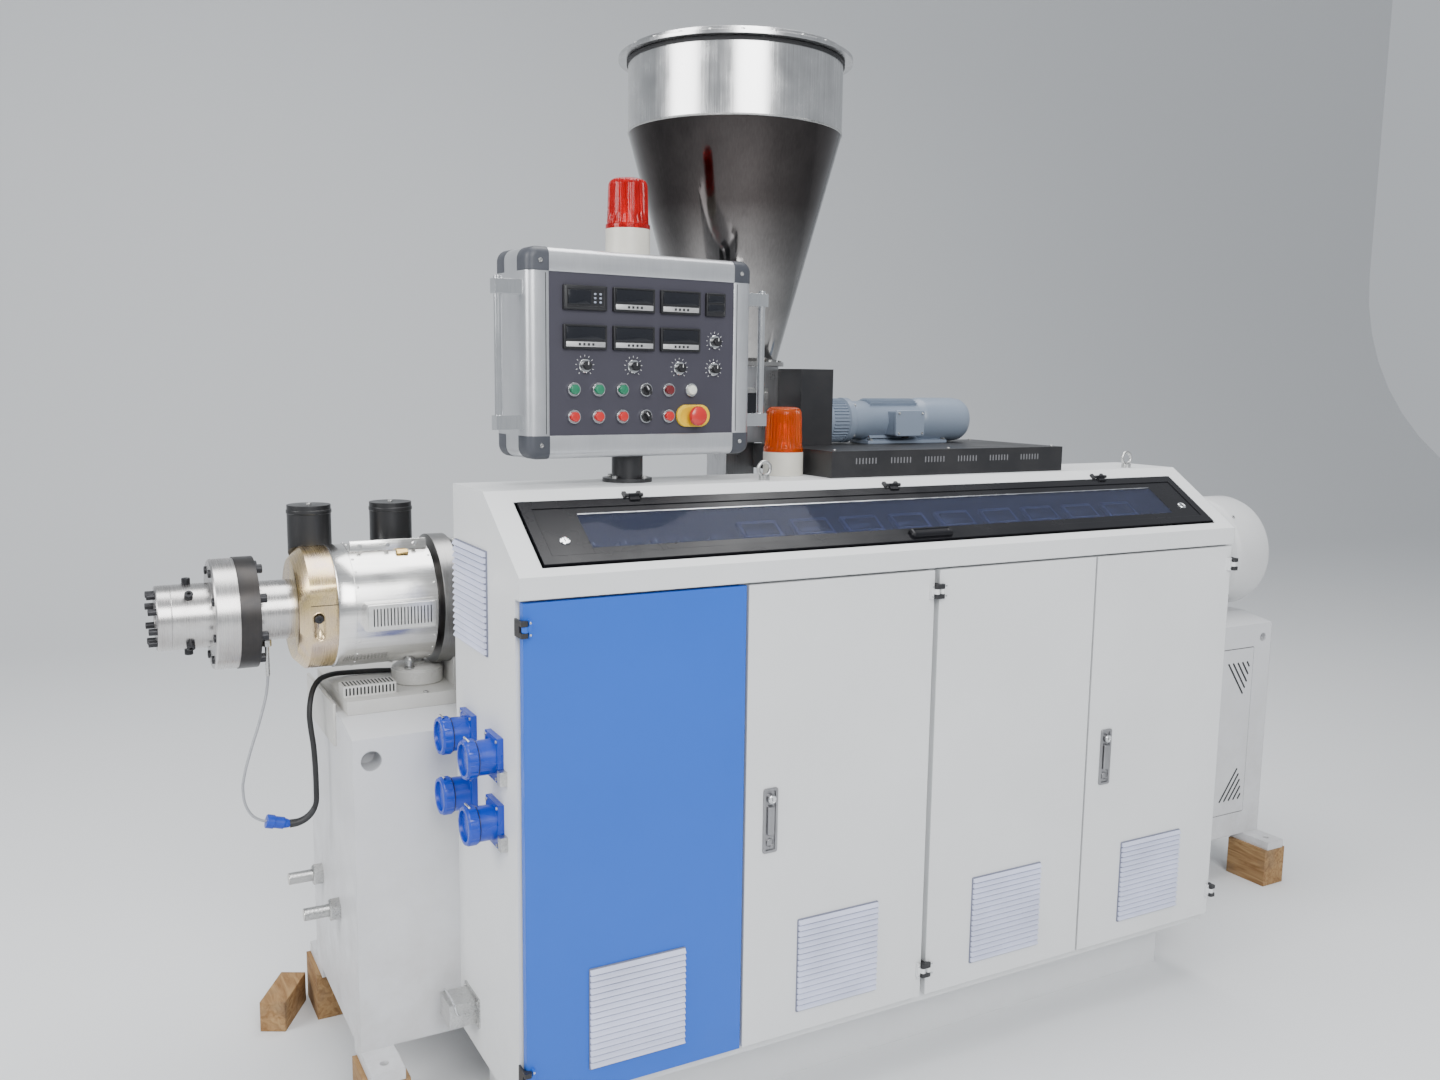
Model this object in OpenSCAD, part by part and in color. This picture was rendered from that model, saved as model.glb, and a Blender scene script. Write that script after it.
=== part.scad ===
// Twin-screw plastic extruder with its control cabinet, hopper and swivelling control box.
// Millimetres. X runs from the die to the main motor, Y from the cabinet doors to the back, Z up.
// Every module is drawn from the left end of the cabinet's door plane; place() moves it to the origin.

/* [Base] */
// length of the white machine base
base_l = 2810; // [2400:10:3200]
// depth of the base from front to back
base_w = 474; // [400:2:560]
// top of the base above the floor
base_top = 834; // [700:2:900]
// how far the base stands out beyond the left end of the cabinet
base_out = 216; // [150:2:300]
// height of the timbers under the feet
timber_h = 115; // [80:5:150]
// width of a packing timber
timber_w = 90; // [60:5:120]
// thickness of the foot plates and of the space between feet and base
foot_t = 25; // [16:1:40]
// reach of a foot plate in front of the base
foot_reach = 95; // [70:5:120]
// width of a foot plate
foot_w = 70; // [50:5:100]
// anchor hole in a foot plate
foot_hole = 18; // [12:1:24]
// depth of the sloping front shoulder of the base
shoulder_d = 105; // [40:5:150]
// drop of the sloping front shoulder
shoulder_h = 20; // [10:2:40]

/* [Cabinet] */
// width of one of the four doors, gap included
door_pitch = 470; // [380:5:520]
// depth of the cabinet behind the door faces
cab_d = 400; // [320:5:500]
// underside of the cabinet body
cab_bottom = 148; // [100:2:200]
// top of the cabinet
cab_top = 1329; // [1200:1:1450]
// lower edge of the sloping desk
slope_z = 1192; // [1100:1:1300]
// depth of the sloping desk
slope_d = 204; // [150:2:260]
// sheet thickness of the cabinet
sheet = 2; // [1.5:0.5:4]
// set-back of the plinth behind the door faces
plinth_back = 115; // [60:5:180]
// set-back of the plinth from the ends
plinth_in = 56; // [20:2:100]

/* [Doors] */
// lower edge of the doors
door_z0 = 175; // [150:1:220]
// upper edge of the doors
door_z1 = 1146; // [1050:1:1180]
// depth of a folded door
door_t = 18; // [12:1:25]
// clear gap between a door and its neighbours
door_gap = 6; // [5:0.5:10]
// side of a square louvred vent
vent_s = 205; // [150:5:250]
// height of the vents' lower edge above the doors' lower edge
vent_up = 47; // [30:1:90]
// number of slats in a vent
vent_slats = 16; // [8:1:20]
// furthest opening of the two outer doors in degrees
outer_open = 110; // [90:5:120]

/* [Window lid] */
// length of the window lid
lid_l = 1768; // [1500:2:1850]
// width of the window lid along the slope
lid_w = 178; // [140:2:200]
// distance of the lid's upper edge from the top edge of the slope
lid_down = 40; // [30:1:60]
// thickness of the lid frame
lid_t = 12; // [8:1:20]
// width of the lid's black border
lid_border = 22; // [15:1:40]

/* [Control box] */
// width of the control box
box_w = 527; // [400:1:620]
// height of the control box
box_h = 410; // [300:1:500]
// depth of the control box
box_d = 152; // [110:1:200]
// width of its aluminium profiles
profile = 46; // [30:1:60]
// post centre from the left end of the cabinet
post_x = 354; // [300:1:450]
// post centre behind the door faces
post_y = 320; // [280:1:350]
// diameter of the round post
post_dia = 66; // [50:1:80]
// height of the post
post_h = 57; // [40:1:120]
// turn of the box on its post at rest, in degrees
box_turn = 5.4; // [-30:0.1:30]
// diameter of the handle tubes
handle_dia = 16; // [12:1:22]

/* [Beacons] */
// diameter of a beacon
beacon_dia = 92; // [60:1:110]
// height of a beacon's base
beacon_base = 54; // [30:1:70]
// height of a beacon's lens
beacon_lens = 102; // [70:1:120]

/* [Hopper] */
// radius of the hopper's cylinder
hop_r = 259; // [200:1:320]
// width of the rim flange
hop_rim = 23; // [15:1:40]
// top of the hopper above the floor
hop_top = 2317; // [2000:1:2500]
// height of the hopper's cylinder
hop_cyl = 186; // [100:2:300]
// radius of the hopper's outlet
hop_out = 108; // [70:1:130]
// lower end of the hopper's cone
hop_low = 1578; // [1500:2:1700]
// hopper sheet thickness
hop_sheet = 3; // [2:0.5:5]
// hopper centre from the left end of the cabinet
hop_x = 781; // [600:1:1000]

/* [Barrel] */
// height of the screw axis above the floor
axis_z = 1050; // [950:1:1150]
// outer radius of the barrel
barrel_r = 95; // [80:1:110]
// outer radius of the heater shroud
shroud_r = 133; // [115:1:150]
// length of one heater zone's shroud
shroud_l = 171; // [120:1:220]
// radius of the barrel flanges
flange_r = 145; // [135:1:170]
// radius of the two-part clamp ring
clamp_r = 130; // [115:1:145]
// radius of the die head cylinder
die_r = 67; // [50:1:90]
// melt bore through the die head
melt_bore = 40; // [20:1:70]

/* [Drive] */
// radius of the main motor's fan cowl
cowl_r = 176; // [140:1:220]
// height of the main motor's axis
motor_z = 1010; // [950:5:1060]
// far end of the fan cowl from the left end of the cabinet
motor_end = 2650; // [2500:5:2800]

/* [Hidden] */
$fn = 64;
door_row = 4 * door_pitch;
axis_y = cab_d + base_w / 2;
base_z0 = timber_h + foot_t;
base_x1 = base_l - base_out;
slope_len = sqrt(slope_d * slope_d + (cab_top - slope_z) * (cab_top - slope_z));
slope_a = atan((cab_top - slope_z) / slope_d);
die_x = -550;
bolt_head = 16;
rear_reach = foot_reach;
hinge_out = 9;
knuckle_r = 6;
hinge_pin_r = 3;
pin_fit = 0.05;
front_most = hinge_out + knuckle_r;
x_lo = die_x - bolt_head;
x_hi = motor_end;
y_lo = -front_most;
y_hi = cab_d + base_w + rear_reach;
mid_x = (x_lo + x_hi) / 2;
mid_y = (y_lo + y_hi) / 2;
seat = 0.3;
spigot_r = 25;
spigot_h = 20;
box_z = cab_top + post_h;
frame_y = door_t + 5;
hinge_h = 32;
knuckle_h = 11;
leaf_w = 14;
centre_gap = 14;
end_gap = centre_gap / 2;
lid_gap = 5;
tray_d = 50;
lid_pin_y = -lid_down + 4;
lid_pin_z = 7.5;
lid_pin_r = 2;
lid_knuckle_r = 4;
lid_hinge_xs = [door_row / 2 - 640, door_row / 2, door_row / 2 + 640];
vent_out = 3;
hinge_zs = [door_z0 + 65, door_z1 - 45];
zone_xs = [-176, 58, 292, 520];

module place() {
  translate([-mid_x, -mid_y, 0])
    children();
}

// ---- helpers

module block(x0, x1, y0, y1, z0, z1) {
  translate([x0, y0, z0])
    cube([x1 - x0, y1 - y0, z1 - z0]);
}

// a cylinder along X from x0 to x1
module rod_x(x0, x1, y, z, r) {
  translate([x0, y, z])
    rotate([0, 90, 0])
      cylinder(h = x1 - x0, r = r);
}

// a cylinder along Y from y0 to y1
module rod_y(x, y0, y1, z, r) {
  translate([x, y0, z])
    rotate([-90, 0, 0])
      cylinder(h = y1 - y0, r = r);
}

// a profile drawn in Y and Z, carried along X from x0 to x1
module along_x(x0, x1) {
  translate([x0, 0, 0])
    rotate([90, 0, 90])
      linear_extrude(height = x1 - x0)
        children();
}

// the axes of the sloping desk: X along it, Y up the slope, Z off its face
module on_slope() {
  translate([0, slope_d, cab_top])
    rotate([slope_a, 0, 0])
      children();
}

// a square louvred vent facing -Y, its lower left corner at the origin
module vent() {
  pitch = vent_s / (vent_slats + 1);
  difference() {
    translate([0, -vent_out, 0])
      cube([vent_s, vent_out, vent_s]);
    for (i = [0 : vent_slats - 1])
      translate([10, 0, pitch * (i + 0.75)])
        rotate([0, 90, 0])
          linear_extrude(height = vent_s - 20)
            polygon([[0, -vent_out - 1], [-pitch * 0.6, -vent_out - 1], [0, -0.8]]);
  }
}

// ---- base

module base_frame() {
  color([0.90, 0.91, 0.92]) {
    difference() {
      along_x(-base_out, base_x1)
        polygon([[cab_d, base_z0], [cab_d + base_w, base_z0], [cab_d + base_w, base_top],
          [cab_d + shoulder_d, base_top], [cab_d, base_top - shoulder_h]]);
      rod_y(-178, cab_d - 1, cab_d + 60, 766, 21);
      rod_y(2555, cab_d - 1, cab_d + 60, 770, 13);
    }
    for (x = [-base_out, base_x1 - foot_w])
      for (s = [0, 1])
        difference() {
          block(x, x + foot_w, s ? cab_d + base_w - 60 : cab_d - foot_reach,
            s ? cab_d + base_w + rear_reach : cab_d + 60, timber_h, base_z0);
          translate([x + foot_w / 2, s ? cab_d + base_w + 60 : cab_d - 60, timber_h - 1])
            cylinder(h = foot_t + 2, d = foot_hole);
        }
  }
}

module base_top() {
  color([0.88, 0.88, 0.85]) {
    block(-200, 600, cab_d + 115, cab_d + base_w - 30, base_top, base_top + 30);
    block(-200, -88, cab_d + 150, cab_d + 200, base_top + 30, base_top + 54);
    block(-base_out - 6, -base_out, cab_d + 155, cab_d + base_w - 20, 760, base_top + 19);
    difference() {
      block(40, 140, axis_y - 80, axis_y + 80, base_top + 30, axis_z - 90);
      rod_x(39, 141, axis_y, axis_z, flange_r + seat);
    }
  }
}

module drain_pot() {
  color([0.91, 0.91, 0.89]) {
    translate([-20, axis_y, base_top + 30])
      cylinder(h = 32, d = 114);
    translate([-20, axis_y, base_top + 62])
      cylinder(h = 9, d = 98);
    translate([-14, axis_y, base_top + 71])
      cylinder(h = axis_z - flange_r - base_top - 71 + 8, d = 20);
  }
}

module packing_timbers() {
  color([0.62, 0.45, 0.25]) {
    for (x = [-base_out + foot_w / 2, base_x1 - foot_w / 2])
      block(x - timber_w / 2, x + timber_w / 2, cab_d - foot_reach, cab_d + 40, 0, timber_h);
    for (x = [-base_out + foot_w / 2, base_x1 - foot_w / 2])
      block(x - timber_w / 2, x + timber_w / 2, cab_d + base_w - 40, cab_d + base_w + rear_reach, 0, timber_h);
  }
}

module water_nipples() {
  color([0.80, 0.80, 0.80])
    for (p = [[775, 392], [584, 384]]) {
      rod_x(-base_out - 75, -base_out, p[0], p[1], 13);
      rod_x(-base_out - 22, -base_out, p[0], p[1], 20);
    }
}

// ---- cabinet

module shell_profile(t) {
  polygon([[frame_y + t, cab_bottom + t], [frame_y + t, door_z1 + 5 + t], [t, door_z1 + 5 + t],
    [t, slope_z - t * 0.3], [slope_d + t * 0.3, cab_top - t], [cab_d - t, cab_top - t],
    [cab_d - t, cab_bottom + t]]);
}

module cabinet_shell() {
  color([0.93, 0.94, 0.95])
    difference() {
      along_x(0, door_row)
        shell_profile(0);
      along_x(sheet, door_row - sheet)
        shell_profile(sheet);
      for (b = [0, 1])
        block(b * 2 * door_pitch + 30, b * 2 * door_pitch + 2 * door_pitch - 30, -1,
          frame_y + sheet + 1, door_z0 + 30, door_z1 - 30);
      on_slope()
        translate([(door_row - lid_l) / 2 - lid_gap, -lid_down - lid_w - lid_gap, -8])
          cube([lid_l + 2 * lid_gap, lid_w + 2 * lid_gap, 20]);
    }
}

module cabinet_plinth() {
  color([0.90, 0.91, 0.92])
    block(plinth_in, door_row - plinth_in, plinth_back, cab_d - 15, 0, cab_bottom);
}

module instrument_panel() {
  color([0.13, 0.13, 0.14])
    on_slope() {
      difference() {
        translate([(door_row - lid_l) / 2 - 17, -lid_down - lid_w - 12, -tray_d])
          cube([lid_l + 34, lid_w + 24, tray_d - sheet]);
        translate([(door_row - lid_l) / 2 - 15, -lid_down - lid_w - 10, -tray_d + 2])
          cube([lid_l + 30, lid_w + 20, tray_d]);
      }
      for (i = [0 : 8])
        translate([690 + i * 116, -lid_down - lid_w / 2 - 48, -tray_d + 2])
          cube([96, 96, 8]);
    }
}

module left_vent() {
  color([0.90, 0.91, 0.93])
    translate([0, 385, 1012])
      rotate([0, 0, -90])
        vent();
}

module sockets() {
  color([0.05, 0.15, 0.62])
    for (p = [[134, 830], [298, 832], [134, 700], [298, 707]]) {
      block(-12, 0, p[0] - 38, p[0] + 38, p[1] - 43, p[1] + 43);
      translate([-12, p[0], p[1]])
        rotate([0, -90, 0])
          cylinder(h = 48, d = 68);
    }
}

module cabinet_fittings() {
  color([0.75, 0.75, 0.76]) {
    block(-60, 0, 280, 350, 212, 262);
    for (z = [800, 672])
      block(-14, 0, 76, 94, z - 14, z + 14);
  }
}

module lifting_eyes() {
  color([0.75, 0.75, 0.76])
    for (x = [645, 1745]) {
      translate([x, 240, cab_top])
        cylinder(h = 10, d = 24);
      translate([x, 240, cab_top + 25])
        rotate([90, 0, 0])
          rotate_extrude()
            translate([15, 0])
              circle(r = 4);
    }
}

// the fixed half of a hinge: two knuckles, the pin through them and the arm back to the frame
// x is the pin's place and ax the arm's middle
module hinge_fixed(x, ax, z) {
  for (s = [-1, 1])
    translate([0, 0, z + s * (hinge_h - knuckle_h + 0.5) / 2 - (knuckle_h - 1.5) / 2]) {
      translate([x, -hinge_out, 0])
        cylinder(h = knuckle_h - 1.5, r = knuckle_r);
      translate([min(x, ax - 2), -hinge_out - knuckle_r, 0])
        cube([abs(x - ax) + 2, hinge_out + knuckle_r - 1, knuckle_h - 1.5]);
    }
  block(ax - 2, ax + 2, -2, frame_y, z - hinge_h / 2, z + hinge_h / 2);
  translate([x, -hinge_out, z - hinge_h / 2])
    cylinder(h = hinge_h, r = hinge_pin_r);
}

module door_hinges() {
  color([0.08, 0.08, 0.09])
    for (z = hinge_zs) {
      hinge_fixed(end_gap, 0, z);
      hinge_fixed(2 * door_pitch - end_gap, 2 * door_pitch, z);
      hinge_fixed(2 * door_pitch + end_gap, 2 * door_pitch, z);
      hinge_fixed(door_row - end_gap, door_row, z);
    }
}

// the leaf on a door: s is 1 for a door that reaches to the right of its pin
module hinge_leaf(x, s, z) {
  difference() {
    union() {
      translate([x, -hinge_out, z - knuckle_h / 2])
        cylinder(h = knuckle_h, r = knuckle_r);
      translate([s > 0 ? x : x - leaf_w, -hinge_out, z - knuckle_h / 2])
        cube([leaf_w, hinge_out, knuckle_h]);
      translate([s > 0 ? x + 8 : x - leaf_w, -hinge_out, z - hinge_h / 2])
        cube([leaf_w - 8, hinge_out, hinge_h]);
    }
    translate([x, -hinge_out, z - hinge_h])
      cylinder(h = 2 * hinge_h, r = hinge_pin_r + pin_fit);
  }
}

// one folded door from x0 to x1, hinged at x0 where s is 1 and at x1 where s is -1
module door(x0, x1, s) {
  difference() {
    block(x0, x1, 0, door_t, door_z0, door_z1);
    block(x0 + sheet, x1 - sheet, sheet, door_t + 1, door_z0 + sheet, door_z1 - sheet);
  }
  for (z = hinge_zs)
    hinge_leaf(s > 0 ? x0 : x1, s, z);
}

module door_with_vent(x0, x1, s, n) {
  door(x0, x1, s);
  translate([n * door_pitch + (door_pitch - vent_s) / 2, 0, door_z0 + vent_up])
    vent();
}

module door_1() {
  color([0.07, 0.33, 0.72])
    door(end_gap, door_pitch - door_gap / 2, 1);
}

module vent_1() {
  color([0.90, 0.92, 0.96])
    translate([(door_pitch - vent_s) / 2, 0, door_z0 + vent_up])
      vent();
}

module door_2() {
  color([0.93, 0.94, 0.95])
    door_with_vent(door_pitch + door_gap / 2, 2 * door_pitch - end_gap, -1, 1);
}

module door_3() {
  color([0.93, 0.94, 0.95])
    door_with_vent(2 * door_pitch + end_gap, 3 * door_pitch - door_gap / 2, 1, 2);
}

module door_4() {
  color([0.93, 0.94, 0.95])
    door_with_vent(3 * door_pitch + door_gap / 2, door_row - end_gap, -1, 3);
}

// ---- window lid

module lid_hinges() {
  color([0.08, 0.08, 0.09])
    on_slope()
      for (x = lid_hinge_xs) {
        for (dx = [-20, 12]) {
          rod_x(x + dx, x + dx + 8, lid_pin_y, lid_pin_z, lid_knuckle_r);
          block(x + dx, x + dx + 8, lid_pin_y + 1.5, lid_pin_y + 14, 0, lid_pin_z - 1);
        }
        rod_x(x - 20, x + 20, lid_pin_y, lid_pin_z, lid_pin_r);
      }
}

module lid_frame() {
  color([0.07, 0.07, 0.08])
    on_slope() {
      translate([(door_row - lid_l) / 2, -lid_down - lid_w, 4 - lid_t])
        difference() {
          cube([lid_l, lid_w, lid_t]);
          translate([lid_border, lid_border, -1])
            cube([lid_l - 2 * lid_border, lid_w - 2 * lid_border, lid_t + 2]);
        }
      for (x = lid_hinge_xs)
        difference() {
          union() {
            rod_x(x - 11, x + 11, lid_pin_y, lid_pin_z, lid_knuckle_r);
            block(x - 11, x + 11, lid_pin_y - 14, lid_pin_y, 4, lid_pin_z);
          }
          rod_x(x - 12, x + 12, lid_pin_y, lid_pin_z, lid_pin_r + pin_fit);
        }
    }
}

module lid_glass() {
  color([0.10, 0.12, 0.18])
    on_slope()
      translate([(door_row - lid_l) / 2 + lid_border, -lid_down - lid_w + lid_border, -2])
        cube([lid_l - 2 * lid_border, lid_w - 2 * lid_border, 4]);
}

// ---- control box

module on_box() {
  translate([post_x, post_y, box_z])
    rotate([0, 0, box_turn])
      children();
}

module box_post() {
  color([0.06, 0.06, 0.07])
    translate([post_x, post_y, cab_top]) {
      cylinder(h = 8, d = 105);
      cylinder(h = post_h - seat, d = post_dia);
      cylinder(h = post_h + spigot_h, r = spigot_r);
    }
}

module box_shell() {
  color([0.75, 0.76, 0.78])
    on_box()
      difference() {
        translate([-box_w / 2, -box_d / 2, 0])
          cube([box_w, box_d, box_h]);
        translate([-box_w / 2 + profile, -box_d / 2 - 1, profile])
          cube([box_w - 2 * profile, 7, box_h - 2 * profile]);
        translate([0, 0, -1])
          cylinder(h = spigot_h + 2, r = spigot_r + pin_fit);
        for (sx = [-1, 1])
          for (sy = [-1, 1])
            for (sz = [0, 1])
              translate([sx * (box_w / 2 - profile / 2), sy * (box_d / 2 - profile / 2),
                sz * (box_h - profile) + profile / 2])
                cube([profile + 0.01, profile + 0.01, profile + 0.01], center = true);
      }
}

module box_corners() {
  color([0.25, 0.26, 0.30])
    on_box()
      for (sx = [-1, 1])
        for (sy = [-1, 1])
          for (sz = [0, 1])
            translate([sx * (box_w / 2 - profile / 2), sy * (box_d / 2 - profile / 2),
              sz * (box_h - profile) + profile / 2])
              cube([profile, profile, profile], center = true);
}

module box_face() {
  color([0.20, 0.20, 0.23])
    on_box()
      translate([-box_w / 2 + profile, -box_d / 2 + 3, profile])
        cube([box_w - 2 * profile, 3, box_h - 2 * profile]);
}

module box_handles() {
  color([0.85, 0.86, 0.86])
    on_box()
      for (s = [-1, 1]) {
        translate([s * (box_w / 2 + 48), -box_d / 2 + 30, 62])
          cylinder(h = 290, d = handle_dia);
        for (z = [58, 318])
          translate([s > 0 ? box_w / 2 : -box_w / 2 - 58, -box_d / 2 + 18, z])
            cube([58, 24, 28]);
      }
}

module box_instruments() {
  color([0.10, 0.10, 0.11])
    on_box() {
      for (i = [0 : 2])
        for (z = [292, 216])
          translate([-188 + i * 111, -box_d / 2 - 5, z])
            cube([96, 8, 48]);
      translate([145, -box_d / 2 - 5, 291])
        cube([48, 8, 48]);
      for (p = [[170, 238], [-139, 184], [-28, 184], [82, 182], [168, 181]])
        translate([p[0], -box_d / 2 + 3, p[1]])
          rotate([90, 0, 0])
            cylinder(h = 18, d = 22);
      for (i = [0 : 5])
        translate([-165 + 55 * i, -box_d / 2 + 3, 137])
          rotate([90, 0, 0])
            cylinder(h = 14, d = 29);
      for (i = [0 : 4])
        translate([-165 + 55 * i, -box_d / 2 + 3, 83])
          rotate([90, 0, 0])
            cylinder(h = 14, d = 29);
      translate([116, -box_d / 2 + 3, 83])
        rotate([90, 0, 0])
          cylinder(h = 30, d = 40);
    }
}

module beacon_base_at(x, y, z) {
  translate([x, y, z])
    cylinder(h = beacon_base, d = beacon_dia);
}

module beacon_lens_at(x, y, z) {
  translate([x, y, z + beacon_base])
    rotate_extrude()
      polygon([[0, 0], [beacon_dia / 2, 0], [beacon_dia / 2 - 3, beacon_lens * 0.75],
        [beacon_dia / 2 - 14, beacon_lens], [0, beacon_lens]]);
}

module red_beacon_base() {
  color([0.85, 0.84, 0.80])
    beacon_base_at(post_x, post_y, box_z + box_h);
}

module red_beacon_lens() {
  color([0.80, 0.05, 0.08])
    beacon_lens_at(post_x, post_y, box_z + box_h);
}

module orange_beacon_base() {
  color([0.90, 0.89, 0.85])
    beacon_base_at(757, 345, cab_top);
}

module orange_beacon_lens() {
  color([0.95, 0.42, 0.05])
    beacon_lens_at(757, 345, cab_top);
}

// ---- hopper and feeder

module hopper() {
  seam = hop_top - hop_cyl;
  color([0.78, 0.78, 0.79])
    translate([hop_x, axis_y, 0])
      rotate_extrude($fn = 96)
        polygon([[hop_out, hop_low], [hop_out + 22, hop_low], [hop_out + 22, hop_low + 10],
          [hop_out + hop_sheet, hop_low + 10], [hop_r, seam],
          [hop_r, hop_top - 20], [hop_r + hop_rim, hop_top - 20], [hop_r + hop_rim, hop_top - 12],
          [hop_r + 4, hop_top - 12], [hop_r + 4, hop_top],
          [hop_r - hop_sheet, hop_top], [hop_r - hop_sheet, seam], [hop_out, hop_low + 10]]);
}

module feeder_housing() {
  color([0.72, 0.72, 0.74])
    translate([hop_x, axis_y, 0])
      difference() {
        union() {
          translate([-90, -90, hop_low - 186])
            cube([172, 180, 186]);
          translate([-40, -50, axis_z])
            cube([80, 100, hop_low - 186 - axis_z]);
        }
        translate([0, 0, axis_z])
          cylinder(h = hop_low - axis_z + 1, r = 30);
        rotate([0, 90, 0])
          translate([-axis_z, 0, -100])
            cylinder(h = 200, r = barrel_r + seat);
      }
}

module feeder_tray() {
  color([0.05, 0.05, 0.06])
    block(811, 1503, 225, 575, cab_top, cab_top + 60);
}

module feeder_guard() {
  color([0.10, 0.10, 0.11])
    block(863, 954, 440, axis_y + 80, cab_top + 60, 1572);
}

module feeder_motor() {
  color([0.48, 0.55, 0.62]) {
    rod_x(954, 1400, 505, 1447, 57);
    block(1080, 1330, 465, 545, cab_top + 60, 1400);
  }
}

// ---- barrel

module barrel() {
  color([0.45, 0.45, 0.46])
    difference() {
      rod_x(-212, 1000, axis_y, axis_z, barrel_r);
      rod_x(-213, 900, axis_y, axis_z, 42);
    }
}

module ring_x(x0, x1, r0, r1) {
  difference() {
    rod_x(x0, x1, axis_y, axis_z, r1);
    rod_x(x0 - 1, x1 + 1, axis_y, axis_z, r0);
  }
}

module barrel_shrouds() {
  color([0.80, 0.80, 0.81])
    for (x = zone_xs) {
      ring_x(x, x + shroud_l, barrel_r + seat, shroud_r);
      block(x + 14, x + shroud_l - 10, axis_y - shroud_r - 26, axis_y - shroud_r + 30, axis_z - 33, axis_z + 26);
    }
}

module barrel_flanges() {
  color([0.50, 0.50, 0.50])
    for (i = [0 : 3]) {
      ring_x(zone_xs[i] + shroud_l + 12, zone_xs[i] + shroud_l + 50, barrel_r + seat, flange_r);
    }
}

module terminal_caps() {
  color([0.07, 0.07, 0.08])
    for (x = concat([-233], [for (z = zone_xs) z + 119]))
      difference() {
        translate([x, axis_y + 60, axis_z])
          cylinder(h = 215, d = 92);
        rod_x(x - 50, x + 50, axis_y, axis_z, (x < -200 ? clamp_r : shroud_r) + seat);
      }
}

module clamp_ring() {
  color([0.68, 0.60, 0.38])
    ring_x(-288, -212, 63.3, clamp_r);
}

module die_adapter() {
  color([0.66, 0.66, 0.68])
    ring_x(-361, -213, 30, 63);
}

module retaining_flange() {
  color([0.12, 0.12, 0.13])
    ring_x(-400, -361, 30, 117);
}

module die_head() {
  color([0.70, 0.70, 0.72])
    difference() {
      union() {
        rod_x(die_x, -447, axis_y, axis_z, die_r);
        rod_x(-447, -400, axis_y, axis_z, 115);
        for (i = [0 : 7])
          translate([die_x - bolt_head, axis_y + 52 * cos(i * 45 + 20), axis_z + 52 * sin(i * 45 + 20)])
            rotate([0, 90, 0])
              cylinder(h = bolt_head + 1, d = 13);
      }
      rod_x(die_x - 1, -399, axis_y, axis_z, melt_bore / 2);
    }
}

// ---- drive

module gearbox() {
  color([0.88, 0.89, 0.90])
    block(1000, 1700, axis_y - 190, axis_y + 190, base_top, 1290);
}

module main_motor() {
  color([0.90, 0.90, 0.90]) {
    rod_x(1700, 2480, axis_y, motor_z, cowl_r - 12);
    rod_x(2480, 2500, axis_y, motor_z, cowl_r - 30);
    rod_x(2500, motor_end, axis_y, motor_z, cowl_r);
    block(1850, 2400, axis_y - 150, axis_y + 150, base_top, motor_z - 100);
  }
}

place() base_frame();
place() base_top();
place() drain_pot();
place() packing_timbers();
place() water_nipples();
place() cabinet_shell();
place() cabinet_plinth();
place() instrument_panel();
place() left_vent();
place() sockets();
place() cabinet_fittings();
place() lifting_eyes();
place() door_hinges();
place() lid_hinges();
place() door_1();
place() vent_1();
place() door_2();
place() door_3();
place() door_4();
place() lid_frame();
place() lid_glass();
place() box_post();
place() box_shell();
place() box_corners();
place() box_face();
place() box_handles();
place() box_instruments();
place() red_beacon_base();
place() red_beacon_lens();
place() orange_beacon_base();
place() orange_beacon_lens();
place() hopper();
place() feeder_housing();
place() feeder_tray();
place() feeder_guard();
place() feeder_motor();
place() barrel();
place() barrel_shrouds();
place() barrel_flanges();
place() terminal_caps();
place() clamp_ring();
place() die_adapter();
place() retaining_flange();
place() die_head();
place() gearbox();
place() main_motor();
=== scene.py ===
import math
import bpy
import numpy as np
from mathutils import Matrix, Vector


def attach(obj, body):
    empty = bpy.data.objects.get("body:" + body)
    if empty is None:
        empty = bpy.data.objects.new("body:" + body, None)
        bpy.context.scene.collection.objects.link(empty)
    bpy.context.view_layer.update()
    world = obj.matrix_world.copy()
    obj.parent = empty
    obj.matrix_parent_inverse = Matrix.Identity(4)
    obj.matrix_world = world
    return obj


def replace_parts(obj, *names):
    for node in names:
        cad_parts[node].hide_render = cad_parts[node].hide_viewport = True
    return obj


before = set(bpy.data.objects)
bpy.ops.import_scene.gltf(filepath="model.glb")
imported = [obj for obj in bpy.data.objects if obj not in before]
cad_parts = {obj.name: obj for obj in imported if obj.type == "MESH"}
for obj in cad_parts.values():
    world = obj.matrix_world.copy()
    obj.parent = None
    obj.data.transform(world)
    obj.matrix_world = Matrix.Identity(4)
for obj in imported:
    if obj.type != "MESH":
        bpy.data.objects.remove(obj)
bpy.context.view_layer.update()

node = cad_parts

# Camera: a standing person's view from the front left of the machine, a little above the cabinet.
# Places are written in millimetres from the left end of the door plane, and shifted to the frame's origin.
MIDDLE = (1042.0, 477.0, 0.0)
EYE = (-708, -2031, 1554)
FOCAL_PIXELS, PHOTO_PIXELS, SENSOR = 1212.9, 1440, 36.0


def at(places):
    """The frame's points in metres: each place in millimetres, less the machine's middle."""
    return (np.asarray(places, float) - MIDDLE) / 1000.0


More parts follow.
